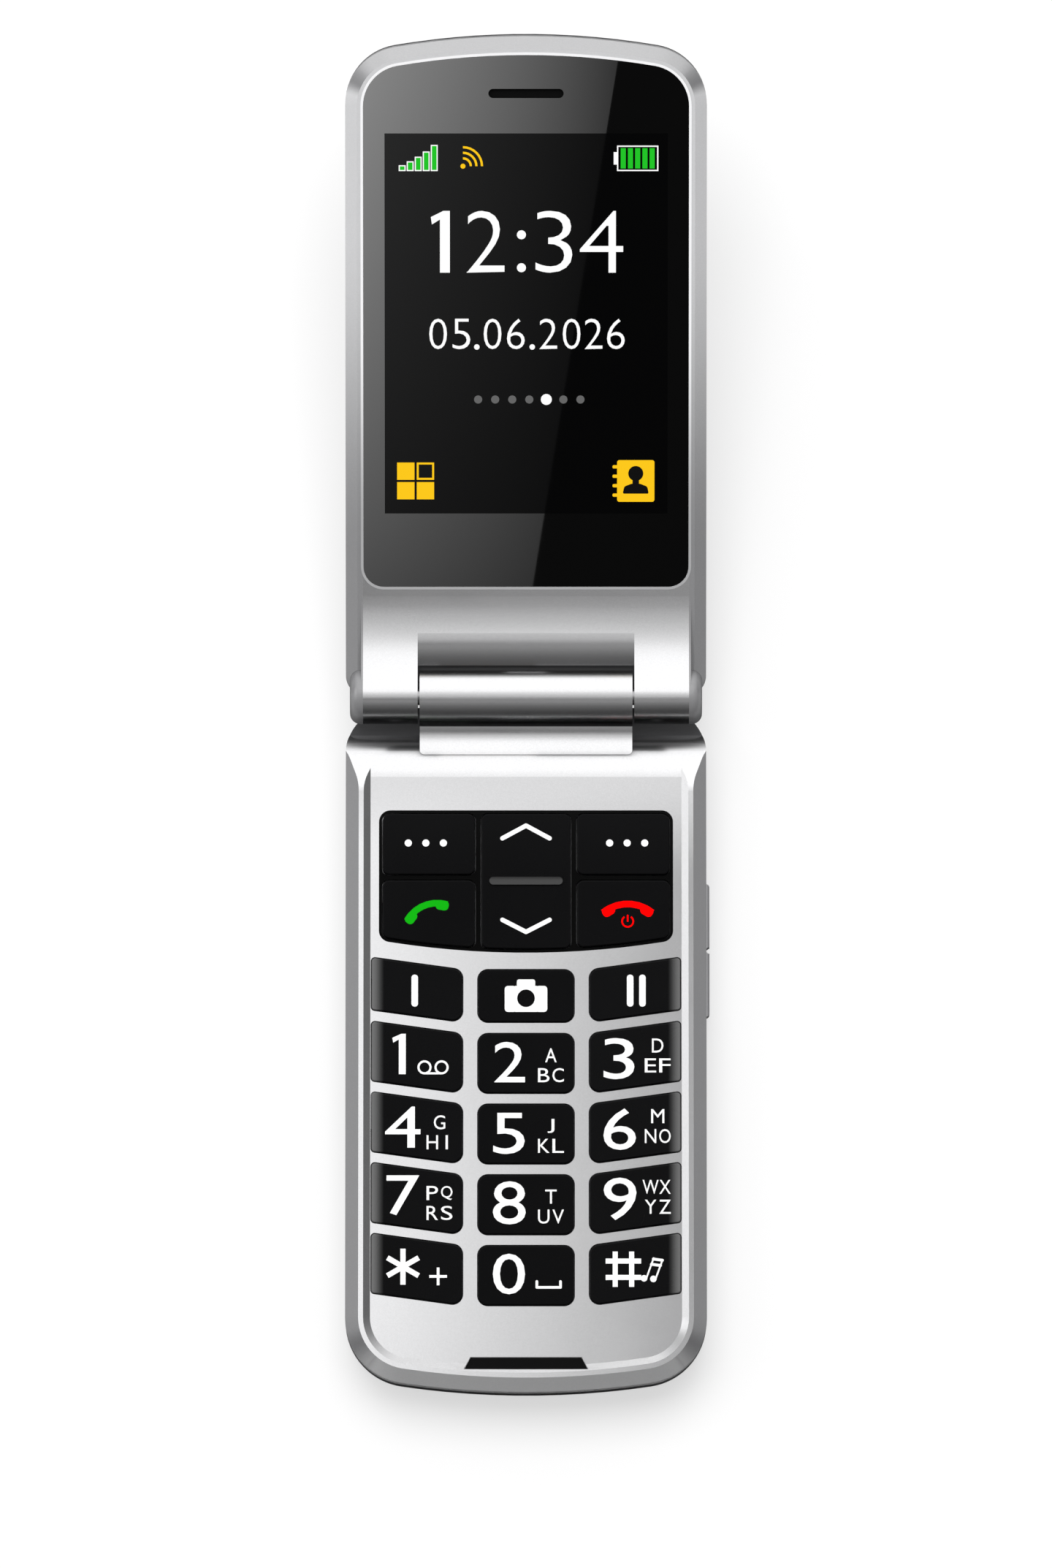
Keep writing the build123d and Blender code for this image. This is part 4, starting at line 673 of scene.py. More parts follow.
@dataclass(frozen=True)
class CardLight:
    """Glowing finish that fades towards the foot and the right edge of a card. Distances in metres."""

    name: str
    strength: float
    left: float
    right: float
    edge_share: float
    foot: float = 0.0
    tip: float = 1.0
    foot_share: float = 1.0
    slant_start: float = 0.5
    slant_end: float = 1.0

    def material(self) -> bpy.types.Material:
        """Makes the finish.

        Returns:
            The material.
        """
        made = empty_material(self.name)
        tree = NodeTree(made.node_tree)
        where = tree.parts(tree.place())
        strengths = (self.foot_share * self.strength, self.strength)
        along = tree.spread(where["Y"], (self.foot, self.tip), strengths)
        across = tree.spread(where["X"], (self.left, self.right), (1.0, self.edge_share))
        shine = tree.node("Emission", {"Strength": tree.math("MULTIPLY", along, across)})
        slant = tree.node("LayerWeight").outputs["Facing"]
        fade = tree.spread(slant, (self.slant_start, self.slant_end))
        shown = tree.mix(fade, shine.outputs[0], tree.node("BsdfTransparent").outputs[0])
        tree.node("OutputMaterial", {"Surface": shown})
        return made


GLARE = CardLight("glare", 31.0, -0.037, 0.022, 0.12, foot=-0.431, tip=-0.307, foot_share=0.22)
PLATE_LIGHT = CardLight("plate_light", 1.4, -0.045, 0.045, 0.03, slant_start=0.022, slant_end=0.045)


# ---------------------------------------------------------------------------
# Flat marks
# ---------------------------------------------------------------------------
@dataclass(frozen=True)
class Sheet:
    """Plane that flat marks lie on: x to the right, y away from the foot."""

    origin: Vector
    slope: float = 0.0

    def matrix(self, lift: float = 0.0) -> Matrix:
        """Gives the plane's place, with its units in millimetres.

        Args:
            lift: Height above the plane, in millimetres.

        Returns:
            Matrix from the plane to the phone.
        """
        turn = Matrix.Rotation(self.slope, 4, "X")
        normal = turn @ Vector((0.0, 0.0, 1.0))
        place = Matrix.Translation(self.origin + normal * lift * MM)
        return place @ turn @ Matrix.Scale(MM, 4)


class Artwork:
    """Flat marks in millimetres, gathered before they are given thickness."""

    CORNER_STEPS = 5
    ROUND_STEPS = 32
    LEAST_STEPS = 6
    WHOLE_TURN = 360.0
    STACK_STEP = 0.0012
    ROUNDEST_CORNER = 0.499
    LETTER_STEPS = 4
    LETTER_MERGE = 0.0005
    # Corners of the figure 1, as shares of its box.
    FIGURE_ONE = (
        (0.48, 0.0),
        (1.0, 0.0),
        (1.0, 1.0),
        (0.66, 1.0),
        (0.0, 0.9),
        (0.06, 0.78),
        (0.48, 0.86),
    )

    def __init__(self) -> None:
        """Starts with no marks."""
        self.mesh = bmesh.new()
        self.count = 0

    def _take(
        self, shape: bmesh.types.BMesh, centre: Spot = (0.0, 0.0), turn: float = 0.0
    ) -> None:
        """Adds a finished shape to the marks, a hair above the one before, and frees it.

        Args:
            shape: The shape, round the origin.
            centre: Where its middle goes.
            turn: Turn to the left, in degrees.
        """
        rise = self.count * self.STACK_STEP
        self.count += 1
        place = Matrix.Translation((*centre, rise)) @ Matrix.Rotation(radians(turn), 4, "Z")
        bmesh.ops.transform(shape, matrix=place, verts=shape.verts)
        carrier = bpy.data.meshes.new("carrier")
        shape.to_mesh(carrier)
        shape.free()
        self.mesh.from_mesh(carrier)
        bpy.data.meshes.remove(carrier)

    @staticmethod
    def _rectangle(size: Spot) -> bmesh.types.BMesh:
        """Makes a rectangle round the origin.

        Args:
            size: Its width and height.

        Returns:
            The flat shape.
        """
        shape = bmesh.new()
        bmesh.ops.create_grid(shape, x_segments=1, y_segments=1, size=0.5)
        bmesh.ops.scale(shape, vec=(*size, 1.0), verts=shape.verts)
        return shape

    def _round_off(self, shape: bmesh.types.BMesh, radius: float) -> None:
        """Rounds the corners of a flat shape, where a radius is given.

        Args:
            shape: The shape.
            radius: Radius of its corners, or 0 for sharp ones.
        """
        if radius:
            bmesh.ops.bevel(
                shape,
                geom=shape.verts[:],
                offset=radius,
                offset_type="OFFSET",
                affect="VERTICES",
                segments=self.CORNER_STEPS,
                profile=0.5,
                material=-1,
            )

    def plate(self, centre: Spot, size: Spot, corner: float = 0.0, turn: float = 0.0) -> None:
        """Adds a rectangle, with rounded corners if asked.

        Args:
            centre: Its middle.
            size: Its width and height.
            corner: Radius of its corners.
            turn: Turn to the left, in degrees.
        """
        shape = self._rectangle(size)
        self._round_off(shape, min(corner, self.ROUNDEST_CORNER * min(size)))
        self._take(shape, centre, turn)

    def bar(self, start: Spot, end: Spot, width: float) -> None:
        """Adds a straight stroke with round ends.

        Args:
            start: Middle of its first end.
            end: Middle of its other end.
            width: Width of the stroke.
        """
        along = Vector(end) - Vector(start)
        middle = (Vector(start) + Vector(end)) / 2
        turn = Vector((1.0, 0.0)).angle_signed(along) if along.length else 0.0
        size = (along.length + width, width)
        self.plate((middle.x, middle.y), size, width / 2, -turn * 180 / pi)

    def disc(self, centre: Spot, radius: float) -> None:
        """Adds a filled circle.

        Args:
            centre: Its middle.
            radius: Its radius.
        """
        shape = bmesh.new()
        bmesh.ops.create_circle(shape, cap_ends=True, segments=self.ROUND_STEPS, radius=radius)
        self._take(shape, centre)

    def ring(self, centre: Spot, inner: float, outer: float) -> None:
        """Adds a filled circle with a round hole.

        Args:
            centre: Its middle.
            inner: Radius of the hole.
            outer: Radius of the circle.
        """
        shape = bmesh.new()
        for radius in (inner, outer):
            bmesh.ops.create_circle(shape, segments=self.ROUND_STEPS, radius=radius)
        bmesh.ops.bridge_loops(shape, edges=shape.edges[:])
        self._take(shape, centre)

    def arc(self, centre: Spot, radius: float, start: float, sweep: float, width: float) -> None:
        """Adds a curved band.

        Args:
            centre: Middle of the arc.
            radius: Radius of the band's middle line.
            start: Direction of its first end, in degrees.
            sweep: Turn along the arc to the left, in degrees.
            width: Width of the band.
        """
        shape = bmesh.new()
        inner = shape.verts.new((radius - width / 2, 0.0, 0.0))
        outer = shape.verts.new((radius + width / 2, 0.0, 0.0))
        edge = shape.edges.new((inner, outer))
        bmesh.ops.spin(
            shape,
            geom=[inner, outer, edge],
            cent=(0.0, 0.0, 0.0),
            axis=(0.0, 0.0, 1.0),
            angle=radians(sweep),
            steps=max(self.LEAST_STEPS, round(self.ROUND_STEPS * sweep / self.WHOLE_TURN)),
            use_merge=sweep >= self.WHOLE_TURN,
        )
        self._take(shape, centre, start)

    def frame(self, centre: Spot, size: Spot, line: float) -> None:
        """Adds the outline of a rectangle.

        Args:
            centre: Its middle.
            size: Its outer width and height.
            line: Width of the line.
        """
        shape = self._rectangle(size)
        bmesh.ops.inset_region(
            shape, faces=shape.faces[:], thickness=line, use_boundary=True, use_even_offset=True
        )
        middle = min(shape.faces, key=lambda face: face.calc_center_median().length)
        bmesh.ops.delete(shape, geom=[middle], context="FACES")
        self._take(shape, centre)

    def outline(self, points: list[Spot], corner: float = 0.0) -> None:
        """Adds a filled outline with straight sides.

        Args:
            points: Its corners.
            corner: Radius of its corners.
        """
        shape = bmesh.new()
        shape.faces.new([shape.verts.new((*point, 0.0)) for point in points])
        self._round_off(shape, corner)
        self._take(shape)

    def figure_one(self, centre: Spot, height: float, width: float) -> None:
        """Adds the figure 1, with a flag at its top.

        Args:
            centre: Middle of its box.
            height: Height of the box.
            width: Width of the box.
        """
        left, low = centre[0] - width / 2, centre[1] - height / 2
        self.outline([(left + across * width, low + up * height) for across, up in self.FIGURE_ONE])

    def text(self, words: str, centre: Spot, height: float, width: float, weight: float = 0.0) -> None:
        """Adds characters, sized to fit a box.

        Args:
            words: The characters.
            centre: Middle of the box.
            height: Height of the box.
            width: Width of the box.
            weight: Growth of their strokes, as a share of the type size.
        """
        curve = bpy.data.curves.new("characters", "FONT")
        curve.offset = weight
        curve.body = words
        curve.resolution_u = self.LETTER_STEPS
        holder = bpy.data.objects.new("characters", curve)
        flat = bpy.data.meshes.new_from_object(holder)
        shape = bmesh.new()
        shape.from_mesh(flat)
        bpy.data.objects.remove(holder)
        bpy.data.curves.remove(curve)
        bpy.data.meshes.remove(flat)
        xs = [vert.co.x for vert in shape.verts]
        ys = [vert.co.y for vert in shape.verts]
        middle = Vector(((min(xs) + max(xs)) / 2, (min(ys) + max(ys)) / 2, 0.0))
        bmesh.ops.translate(shape, vec=-middle, verts=shape.verts)
        fit = (width / (max(xs) - min(xs)), height / (max(ys) - min(ys)), 1.0)
        bmesh.ops.scale(shape, vec=fit, verts=shape.verts)
        bmesh.ops.remove_doubles(shape, verts=shape.verts, dist=self.LETTER_MERGE)
        self._take(shape, centre)

    def finish(
        self, name: str, sheet: Sheet, lift: float, thickness: float, look: Finish
    ) -> bpy.types.Object:
        """Gives the marks their thickness and makes the piece.

        Args:
            name: Name of the piece.
            sheet: Plane that the marks lie on.
            lift: Height of their underside above the plane, in millimetres.
            thickness: Their thickness, in millimetres.
            look: Their finish.

        Returns:
            The piece, with its place in its mesh.
        """
        shape = self.mesh
        for face in shape.faces:
            face.normal_update()
            if face.normal.z < 0:
                face.normal_flip()
        raised = bmesh.ops.extrude_face_region(shape, geom=shape.faces[:], use_keep_orig=True)
        moved = [item for item in raised["geom"] if isinstance(item, bmesh.types.BMVert)]
        bmesh.ops.translate(shape, vec=(0.0, 0.0, thickness), verts=moved)
        bmesh.ops.recalc_face_normals(shape, faces=shape.faces)
        bmesh.ops.transform(shape, matrix=sheet.matrix(lift), verts=shape.verts)
        return make_piece(name, shape, look.material())


def make_piece(
    name: str, shape: bmesh.types.BMesh, material: bpy.types.Material
) -> bpy.types.Object:
    """Makes an object from a finished mesh.

    Args:
        name: Name of the piece.
        shape: Its mesh in the phone's own frame, which is freed.
        material: Its finish.

    Returns:
        The new object.
    """
    data = bpy.data.meshes.new(name)
    shape.to_mesh(data)
    shape.free()
    data.materials.append(material)
    piece = bpy.data.objects.new(name, data)
    bpy.context.scene.collection.objects.link(piece)
    return piece


def join_to_body(piece: bpy.types.Object, body: str) -> None:
    """Puts a piece on a body of the phone and reports it.

    Args:
        piece: The piece, in its place.
        body: Name of the body.
    """
    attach(piece, body)
    LOG.info("%s rides on %s", piece.name, body)


# ---------------------------------------------------------------------------
# Keys
# ---------------------------------------------------------------------------
@dataclass
class KeyMarks:
    """White, green and red marks printed on the keys, and a painted highlight on the rocker's ridge. Sizes
    in millimetres.
    """

    print_thickness: float = 0.02
    sunk: float = 0.005
    letter_height: float = 2.15
    letter_width: float = 1.75
    letter_pitch: float = 2.2
    letter_shift: float = 3.45
    middle_letters: float = 0.35
    upper_line: float = 1.2
    lower_line: float = -1.85
    lean: float = 0.137
    loops_shift: Spot = (-1.0, -1.2)
    bar_shifts: Spot = (-0.35, 0.2)
    dot_shifts: Spot = (-0.45, 0.6)
    # Widths of the letters that are narrower or wider than the rest, as shares of letter_width.
    letter_widths: dict[str, float] = field(
        default_factory=lambda: {"I": 0.2, "M": 1.15, "W": 1.4, "J": 0.6}
    )
    # Place right of and above the key's middle line, width and height of each digit.
    digits: dict[str, tuple[float, float, float, float]] = field(
        default_factory=lambda: {
            "1": (-2.73, 0.0, 2.05, 6.2),
            "2": (-2.5, 0.15, 4.7, 6.2),
            "3": (-2.45, 0.0, 4.7, 6.3),
            "4": (-2.15, -0.3, 5.4, 6.3),
            "5": (-2.6, 0.05, 4.8, 6.3),
            "6": (-2.35, 0.0, 4.95, 6.35),
            "7": (-2.12, 0.1, 5.0, 6.1),
            "8": (-2.55, 0.25, 5.0, 6.6),
            "9": (-2.3, 0.15, 5.0, 6.5),
            "0": (-2.6, 0.2, 4.9, 6.2),
        }
    )
    # Upper and lower line of letters beside a digit.
    letters: dict[str, tuple[str, str]] = field(
        default_factory=lambda: {
            "key_2": ("A", "BC"),
            "key_3": ("D", "EF"),
            "key_4": ("G", "HI"),
            "key_5": ("J", "KL"),
            "key_6": ("M", "NO"),
            "key_7": ("PQ", "RS"),
            "key_8": ("T", "UV"),
            "key_9": ("WX", "YZ"),
        }
    )

    def build(self) -> None:
        """Prints the marks on every key and paints the highlight on the rocker's ridge."""
        for number in "1234567890":
            self.number_key(number)
        self.star_key()
        self.hash_key()
        self.memory_key("memory_one_key", 1, self.bar_shifts[0])
        self.memory_key("memory_two_key", 2, self.bar_shifts[1])
        self.camera_key()
        self.dotted_key("soft_left_key", self.dot_shifts[0])
        self.dotted_key("soft_right_key", self.dot_shifts[1])
        self.chevrons()
        self.ridge()
        self.call_key()
        self.end_key()

    def _sheet(self, key: str) -> Sheet:
        """Top face of a key, with its middle as the origin."""
        low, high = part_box(key)
        return Sheet(Vector(((low.x + high.x) / 2, (low.y + high.y) / 2, high.z)))

    def _beside(self, sheet: Sheet, across: float, rise: float = 0.0) -> Spot:
        """Finds a place on a key's middle line, which leans on the side keys.

        Args:
            sheet: Top face of the key.
            across: Distance to the right of the key's middle.
            rise: Height above the middle line.

        Returns:
            The place.
        """
        side = (sheet.origin.x > MM) - (sheet.origin.x < -MM)
        return across, side * across * self.lean + rise

    def _print(self, art: Artwork, key: str, name: str, look: Finish = WHITE_PRINT) -> None:
        """Finishes the marks of a key and puts them on it."""
        self._lay(art, self._sheet(key), key, name, look)

    def _lay(self, art: Artwork, sheet: Sheet, body: str, name: str, look: Finish) -> None:
        """Finishes marks on a plane and puts them on a body.

        Args:
            art: The marks.
            sheet: The plane.
            body: Name of the body.
            name: Name of the piece.
            look: Finish of the marks.
        """
        piece = art.finish(name, sheet, -self.sunk, self.print_thickness, look)
        join_to_body(piece, body)

    def number_key(self, number: str) -> None:
        """Prints a digit, with its letters or sign beside it.

        Args:
            number: The digit.
        """
        key = f"key_{number}"
        sheet = self._sheet(key)
        art = Artwork()
        across, rise, width, height = self.digits[number]
        place = self._beside(sheet, across, rise)
        if number == "1":
            art.figure_one(place, height, width)
        else:
            art.text(number, place, height, width)
        shift, middle = self._beside(sheet, self.letter_shift)
        if number == "1":
            self._voicemail(art, (shift + self.loops_shift[0], middle + self.loops_shift[1]))
        elif number == "0":
            self._space(art, (shift, middle + self.lower_line))
        else:
            shift += self.middle_letters * (abs(sheet.origin.x) < MM)
            for words, line in zip(self.letters[key], (self.upper_line, self.lower_line)):
                self._letters(art, words, (shift, middle + line))
        self._print(art, key, f"{key}_marks")

    def _letters(self, art: Artwork, words: str, centre: Spot) -> None:
        """Adds one line of small letters, evenly spaced.

        Args:
            art: Marks that the letters join.
            words: One or two letters.
            centre: Middle of the line.
        """
        start = centre[0] - self.letter_pitch * (len(words) - 1) / 2
        for place, letter in enumerate(words):
            width = self.letter_width * self.letter_widths.get(letter, 1.0)
            spot = (start + place * self.letter_pitch, centre[1])
            art.text(letter, spot, self.letter_height, width)

    @staticmethod
    def _voicemail(art: Artwork, centre: Spot) -> None:
        """Adds the two joined loops of the voicemail sign.

        Args:
            art: Marks that they join.
            centre: Their middle.
        """
        radius, line, apart = 0.92, 0.32, 1.3
        for side in (-1, 1):
            art.arc((centre[0] + side * apart, centre[1]), radius, 0.0, art.WHOLE_TURN, line)
        low = centre[1] - radius
        art.bar((centre[0] - apart, low), (centre[0] + apart, low), line)

    @staticmethod
    def _space(art: Artwork, centre: Spot) -> None:
        """Adds the space sign: a line with two short upturned ends.

        Args:
            art: Marks that it joins.
            centre: Middle of the line.
        """
        half, rise, line = 1.8, 0.9, 0.4
        left, right = centre[0] - half, centre[0] + half
        art.bar((left, centre[1]), (right, centre[1]), line)
        for end in (left, right):
            art.bar((end, centre[1]), (end, centre[1] + rise), line)

    @staticmethod
    def _crossed(art: Artwork, centre: Spot, size: Spot, turns: tuple[float, ...]) -> None:
        """Adds strokes that cross in their middles.

        Args:
            art: Marks that they join.
            centre: Where they cross.
            size: Length and width of each.
            turns: Their turns to the left, in degrees.
        """
        for turn in turns:
            art.plate(centre, size, 0.0, turn)

    def star_key(self) -> None:
        """Prints the star and the plus sign."""
        art = Artwork()
        sheet = self._sheet("key_star")
        star_shift, star_size, star_turns = -2.1, (5.5, 0.8), (30, 90, 150)
        plus_shift, plus_rise, plus_size, plus_turns = 3.25, -0.75, (2.7, 0.42), (0, 90)
        self._crossed(art, self._beside(sheet, star_shift), star_size, star_turns)
        self._crossed(art, self._beside(sheet, plus_shift, plus_rise), plus_size, plus_turns)
        self._print(art, "key_star", "key_star_marks")

    def hash_key(self) -> None:
        """Prints the hash sign and a music note."""
        art = Artwork()
        sheet = self._sheet("key_hash")
        shift, rise, length, gap, line = -1.8, 0.15, 5.4, 1.25, 0.78
        note_shift, note_rise, note_lean = 2.95, -0.4, 20.0
        across, up = self._beside(sheet, shift, rise)
        for side in (-1, 1):
            art.plate((across + side * gap, up), (line, length))
            art.plate((across, up + side * gap), (length, line))
        self._note(art, self._beside(sheet, note_shift, note_rise), note_lean)
        self._print(art, "key_hash", "key_hash_marks")

    @staticmethod
    def _note(art: Artwork, centre: Spot, lean: float) -> None:
        """Adds two small joined notes, leaning over.

        Args:
            art: Marks that they join.
            centre: Their middle.
            lean: Lean to the right, in degrees.
        """
        half, reach, stem, beam = 0.68, 1.75, 0.26, 0.42
        head, head_shift, head_rise = 0.5, 0.32, 0.2
        stem_drop, beams, beam_rise = 0.3, (0.3, 1.15), 0.15
        for side in (-1, 1):
            foot = -reach + head_rise * side
            art.disc(leaning(centre, lean, (side * half - head_shift, foot)), head)
            ends = ((side * half, foot), (side * half, reach - stem_drop))
            art.bar(*(leaning(centre, lean, end) for end in ends), stem)
        for drop in beams:
            ends = ((-half, reach - drop - beam_rise), (half, reach - drop + beam_rise))
            art.bar(*(leaning(centre, lean, end) for end in ends), beam)

    def memory_key(self, key: str, count: int, shift: float) -> None:
        """Prints one or two upright bars.

        Args:
            key: Name of the key.
            count: Number of bars.
            shift: Place of their middle across the key.
        """
        art = Artwork()
        width, height, corner, pitch, rise = 1.0, 4.9, 0.45, 1.87, -0.25
        for place in range(count):
            across = shift + (place - (count - 1) / 2) * pitch
            art.plate((across, rise), (width, height), corner)
        self._print(art, key, f"{key}_marks")

    def camera_key(self) -> None:
        """Prints a camera with a round hole for its lens."""
        art = Artwork()
        width, height, corner, low = 6.5, 4.0, 0.5, -2.5
        hole, ring_share, lens_rise = 1.35, 1.5, 2.1
        hump, hump_height, hump_corner, overlap = 2.8, 1.0, 0.35, 0.1
        lens, reach = low + lens_rise, hole * ring_share
        art.ring((0.0, lens), hole, reach)
        inner = reach * cos(pi / 4)
        side = (width / 2 - inner) / 2
        for shift in (side - width / 2, width / 2 - side):
            art.plate((shift, low + height / 2), (2 * side, height), corner)
        top = low + height
        below, above = lens - inner - low, top - (lens + inner)
        for rise, part in ((low + below / 2, below), (top - above / 2, above)):
            art.plate((0.0, rise), (2 * inner + corner, part))
        place = (0.0, top + hump_height / 2 - overlap)
        art.plate(place, (hump, hump_height + 2 * overlap), hump_corner)
        self._print(art, "camera_key", "camera_key_marks")

    def dotted_key(self, key: str, shift: float) -> None:
        """Prints three dots on a soft key.

        Args:
            key: Name of the key.
            shift: Place of their middle across the key.
        """
        art = Artwork()
        radius, pitch, rise = 0.55, 2.68, 0.15
        for place in (-1, 0, 1):
            art.disc((shift + place * pitch, rise), radius)
        self._print(art, key, f"{key}_marks")

    def chevrons(self) -> None:
        """Prints the up and down chevrons on the rocker."""
        art = Artwork()
        low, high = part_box("nav_rocker")
        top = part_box("soft_left_key")[1].z
        half, line = 3.6, 0.68
        upper, lower = (6.6, 8.55), (-5.95, -7.8)
        for foot, tip in (upper, lower):
            for side in (-1, 1):
                art.bar((side * half, foot), (0.0, tip), line)
        sheet = Sheet(Vector((0.0, (low.y + high.y) / 2, top)))
        self._lay(art, sheet, "nav_rocker", "nav_rocker_marks", WHITE_PRINT)

    def ridge(self) -> None:
        """Paints the highlight on the lit side of the ridge across the rocker's middle, as a flat mark."""
        art = Artwork()
        low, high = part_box("nav_rocker")
        width, height, shift = 11.2, 1.2, 0.05
        art.plate((0.0, 0.0), (width, height), height / 2)
        sheet = Sheet(Vector((0.0, (low.y + high.y) / 2 + shift * MM, high.z)))
        self._lay(art, sheet, "nav_rocker", "nav_rocker_painted_ridge_highlight", RIDGE_PAINTED_HIGHLIGHT)

    @staticmethod
    def _handset(art: Artwork, centre: Spot, span: float, turn: float) -> None:
        """Adds a handset: a curved grip with a thicker ear and mouth piece.

        Args:
            art: Marks that it joins.
            centre: Middle of the handset.
            span: Distance between its ends.
            turn: Turn to the left, in degrees.
        """
        sweep, grip, sag, inset = 78.0, 1.0, 0.87, 8.0
        ear, ear_corner, ear_drop = (2.0, 1.5), 0.62, 0.27
        radius = span / 2 / sin(radians(sweep / 2))
        down = Vector((0.0, -radius * cos(radians(sweep / 2)) * sag)).to_3d()
        down.rotate(Matrix.Rotation(radians(turn), 3, "Z"))
        hub = (centre[0] + down.x, centre[1] + down.y)
        art.arc(hub, radius, 90.0 - sweep / 2 + turn, sweep, grip)
        for side in (-1, 1):
            lean = turn + side * (sweep / 2 - inset)
            way, out = radians(90.0 + lean), radius - ear_drop
            art.plate((hub[0] + out * cos(way), hub[1] + out * sin(way)), ear, ear_corner, lean)

    def call_key(self) -> None:
        """Prints the green handset."""
        art = Artwork()
        place, span, turn = (-0.05, -0.35), 6.6, 22.0
        self._handset(art, place, span, turn)
        self._print(art, "call_key", "call_key_marks", GREEN_PRINT)

    def end_key(self) -> None:
        """Prints the red handset over the switch sign."""
        art = Artwork()
        middle, span, line = 0.67, 7.5, 0.26
        handset_rise, switch_rise, radius, start, sweep = -0.45, -1.2, 0.85, 125.0, 290.0
        bar_foot, bar_top = -1.15, -0.3
        self._handset(art, (middle, handset_rise), span, 0.0)
        art.arc((middle, switch_rise), radius, start, sweep, line)
        art.bar((middle, bar_foot), (middle, bar_top), line)
        self._print(art, "end_key", "end_key_marks", RED_PRINT)


def leaning(centre: Spot, lean: float, spot: Spot) -> Spot:
    """Places a point of a mark that leans over.

    Args:
        centre: Middle of the mark.
        lean: Lean to the right, in degrees.
        spot: The point, from the mark's middle, as it is upright.

    Returns:
        The point.
    """
    turn = radians(-lean)
    across, up = spot
    return (
        centre[0] + across * cos(turn) - up * sin(turn),
        centre[1] + across * sin(turn) + up * cos(turn),
    )


# ---------------------------------------------------------------------------
# Display
# ---------------------------------------------------------------------------
@dataclass
class ScreenPicture:
    """The lit picture behind the lid's window. Millimetres from the hinge along the lid."""

    sheet: Sheet
    face: float = -0.26
    sunk: float = 0.005
    layer: float = 0.02
    left: float = -21.55
    right: float = 21.6
    low: float = 28.2
    high: float = 86.4

    def build(self) -> None:
        """Makes the dark panel and everything shown on it."""
        self.panel()
        self.signal_bars()
        self.battery_gauge()
        self.radio_waves()
        self.clock()
        self.day_dots()
        self.menu_sign()
        self.contacts_sign()

    def _show(self, art: Artwork, name: str, level: int, look: Finish) -> None:
        """Finishes part of the picture.

        Args:
            art: Its marks.
            name: Name of the piece.
            level: Layer that it lies on, from 0 for the panel.
            look: Its finish.
        """
        lift = self.face - self.sunk + level * self.layer
        piece = art.finish(name, self.sheet, lift, self.layer, look)
        join_to_body(piece, "lid")

    def panel(self) -> None:
        """Makes the dark ground of the picture."""
        art = Artwork()
        centre = ((self.left + self.right) / 2, (self.low + self.high) / 2)
        art.plate(centre, (self.right - self.left, self.high - self.low))
        self._show(art, "screen_panel", 0, SCREEN_FILM)

    def signal_bars(self) -> None:
        """Makes five rising bars with white outlines."""
        outline, fill = Artwork(), Artwork()
        start, base, pitch, width, line = -18.85, 80.65, 1.22, 1.06, 0.17
        heights = (0.9, 1.5, 2.2, 3.0, 4.0)
        for place, height in enumerate(heights):
            spot = (start + place * pitch, base + height / 2)
            outline.plate(spot, (width, height))
            fill.plate(spot, (width - 2 * line, height - 2 * line))
        self._show(outline, "signal_outline", 1, LIGHT_WHITE)
        self._show(fill, "signal_fill", 2, LIGHT_GREEN)

    def battery_gauge(self) -> None:
        """Makes the battery sign with five green cells."""
        outline, fill = Artwork(), Artwork()
        (across, up), (width, height), line = (17.0, 82.6), (6.3, 3.9), 0.2
        cap, cells, gap = (0.5, 1.9), 5, 0.32
        outline.frame((across, up), (width, height), line)
        outline.plate((across - width / 2 - cap[0] / 2, up), cap)
        pitch = (width - 4 * line) / cells
        for place in range(cells):
            shift = (place - cells // 2) * pitch
            fill.plate((across + shift, up), (pitch - gap, height - 4 * line))
        self._show(outline, "battery_outline", 1, LIGHT_WHITE)
        self._show(fill, "battery_fill", 1, LIGHT_GREEN)

    def radio_waves(self) -> None:
        """Makes three yellow waves beside the signal bars."""
        art = Artwork()
        source, dot, line, sweep = (-9.6, 81.4), 0.38, 0.34, 90.0
        radii = (1.2, 2.05, 2.9)
        art.disc(source, dot)
        for radius in radii:
            art.arc(source, radius, 0.0, sweep, line)
        self._show(art, "radio_waves", 1, LIGHT_YELLOW)

    def clock(self) -> None:
        """Makes the time and the date."""
        art = Artwork()
        middle, height, thin = 69.85, 9.45, -0.012
        colon_height, colon_drop = height * 0.68, 1.45
        one, one_width = -13.05, 2.9
        figures = (
            ("2", (-6.15, middle), height, 5.75),
            (":", (-0.7, middle - colon_drop), colon_height, 1.4),
            ("3", (4.25, middle), height, 5.6),
            ("4", (11.5, middle), height, 6.6),
        )
        art.figure_one((one, middle), height, one_width)
        for figure, spot, tall, width in figures:
            art.text(figure, spot, tall, width, thin)
        middle, height, width, stop_rise, stop = 55.75, 4.65, 2.7, 53.75, 0.42
        places = (-13.4, -9.85, -7.5, -5.1, -1.55, 0.95, 3.4, 6.95, 10.3, 13.7)
        for figure, place in zip("05.06.2026", places):
            if figure == ".":
                art.disc((place, stop_rise), stop)
            else:
                art.text(figure, (place, middle), height, width, thin)
        self._show(art, "clock", 1, LIGHT_WHITE)

    def day_dots(self) -> None:
        """Makes a row of seven dots, one for each day, with the fifth lit."""
        lit, unlit = Artwork(), Artwork()
        (across, up), pitch, radius, lit_radius = (0.5, 45.7), 2.6, 0.62, 0.837
        days, today = 7, 4
        for place in range(days):
            spot = (across + (place - days // 2) * pitch, up)
            if place == today:
                lit.disc(spot, lit_radius)
            else:
                unlit.disc(spot, radius)
        self._show(lit, "day_today", 1, LIGHT_WHITE)
        self._show(unlit, "day_others", 1, LIGHT_GREY)

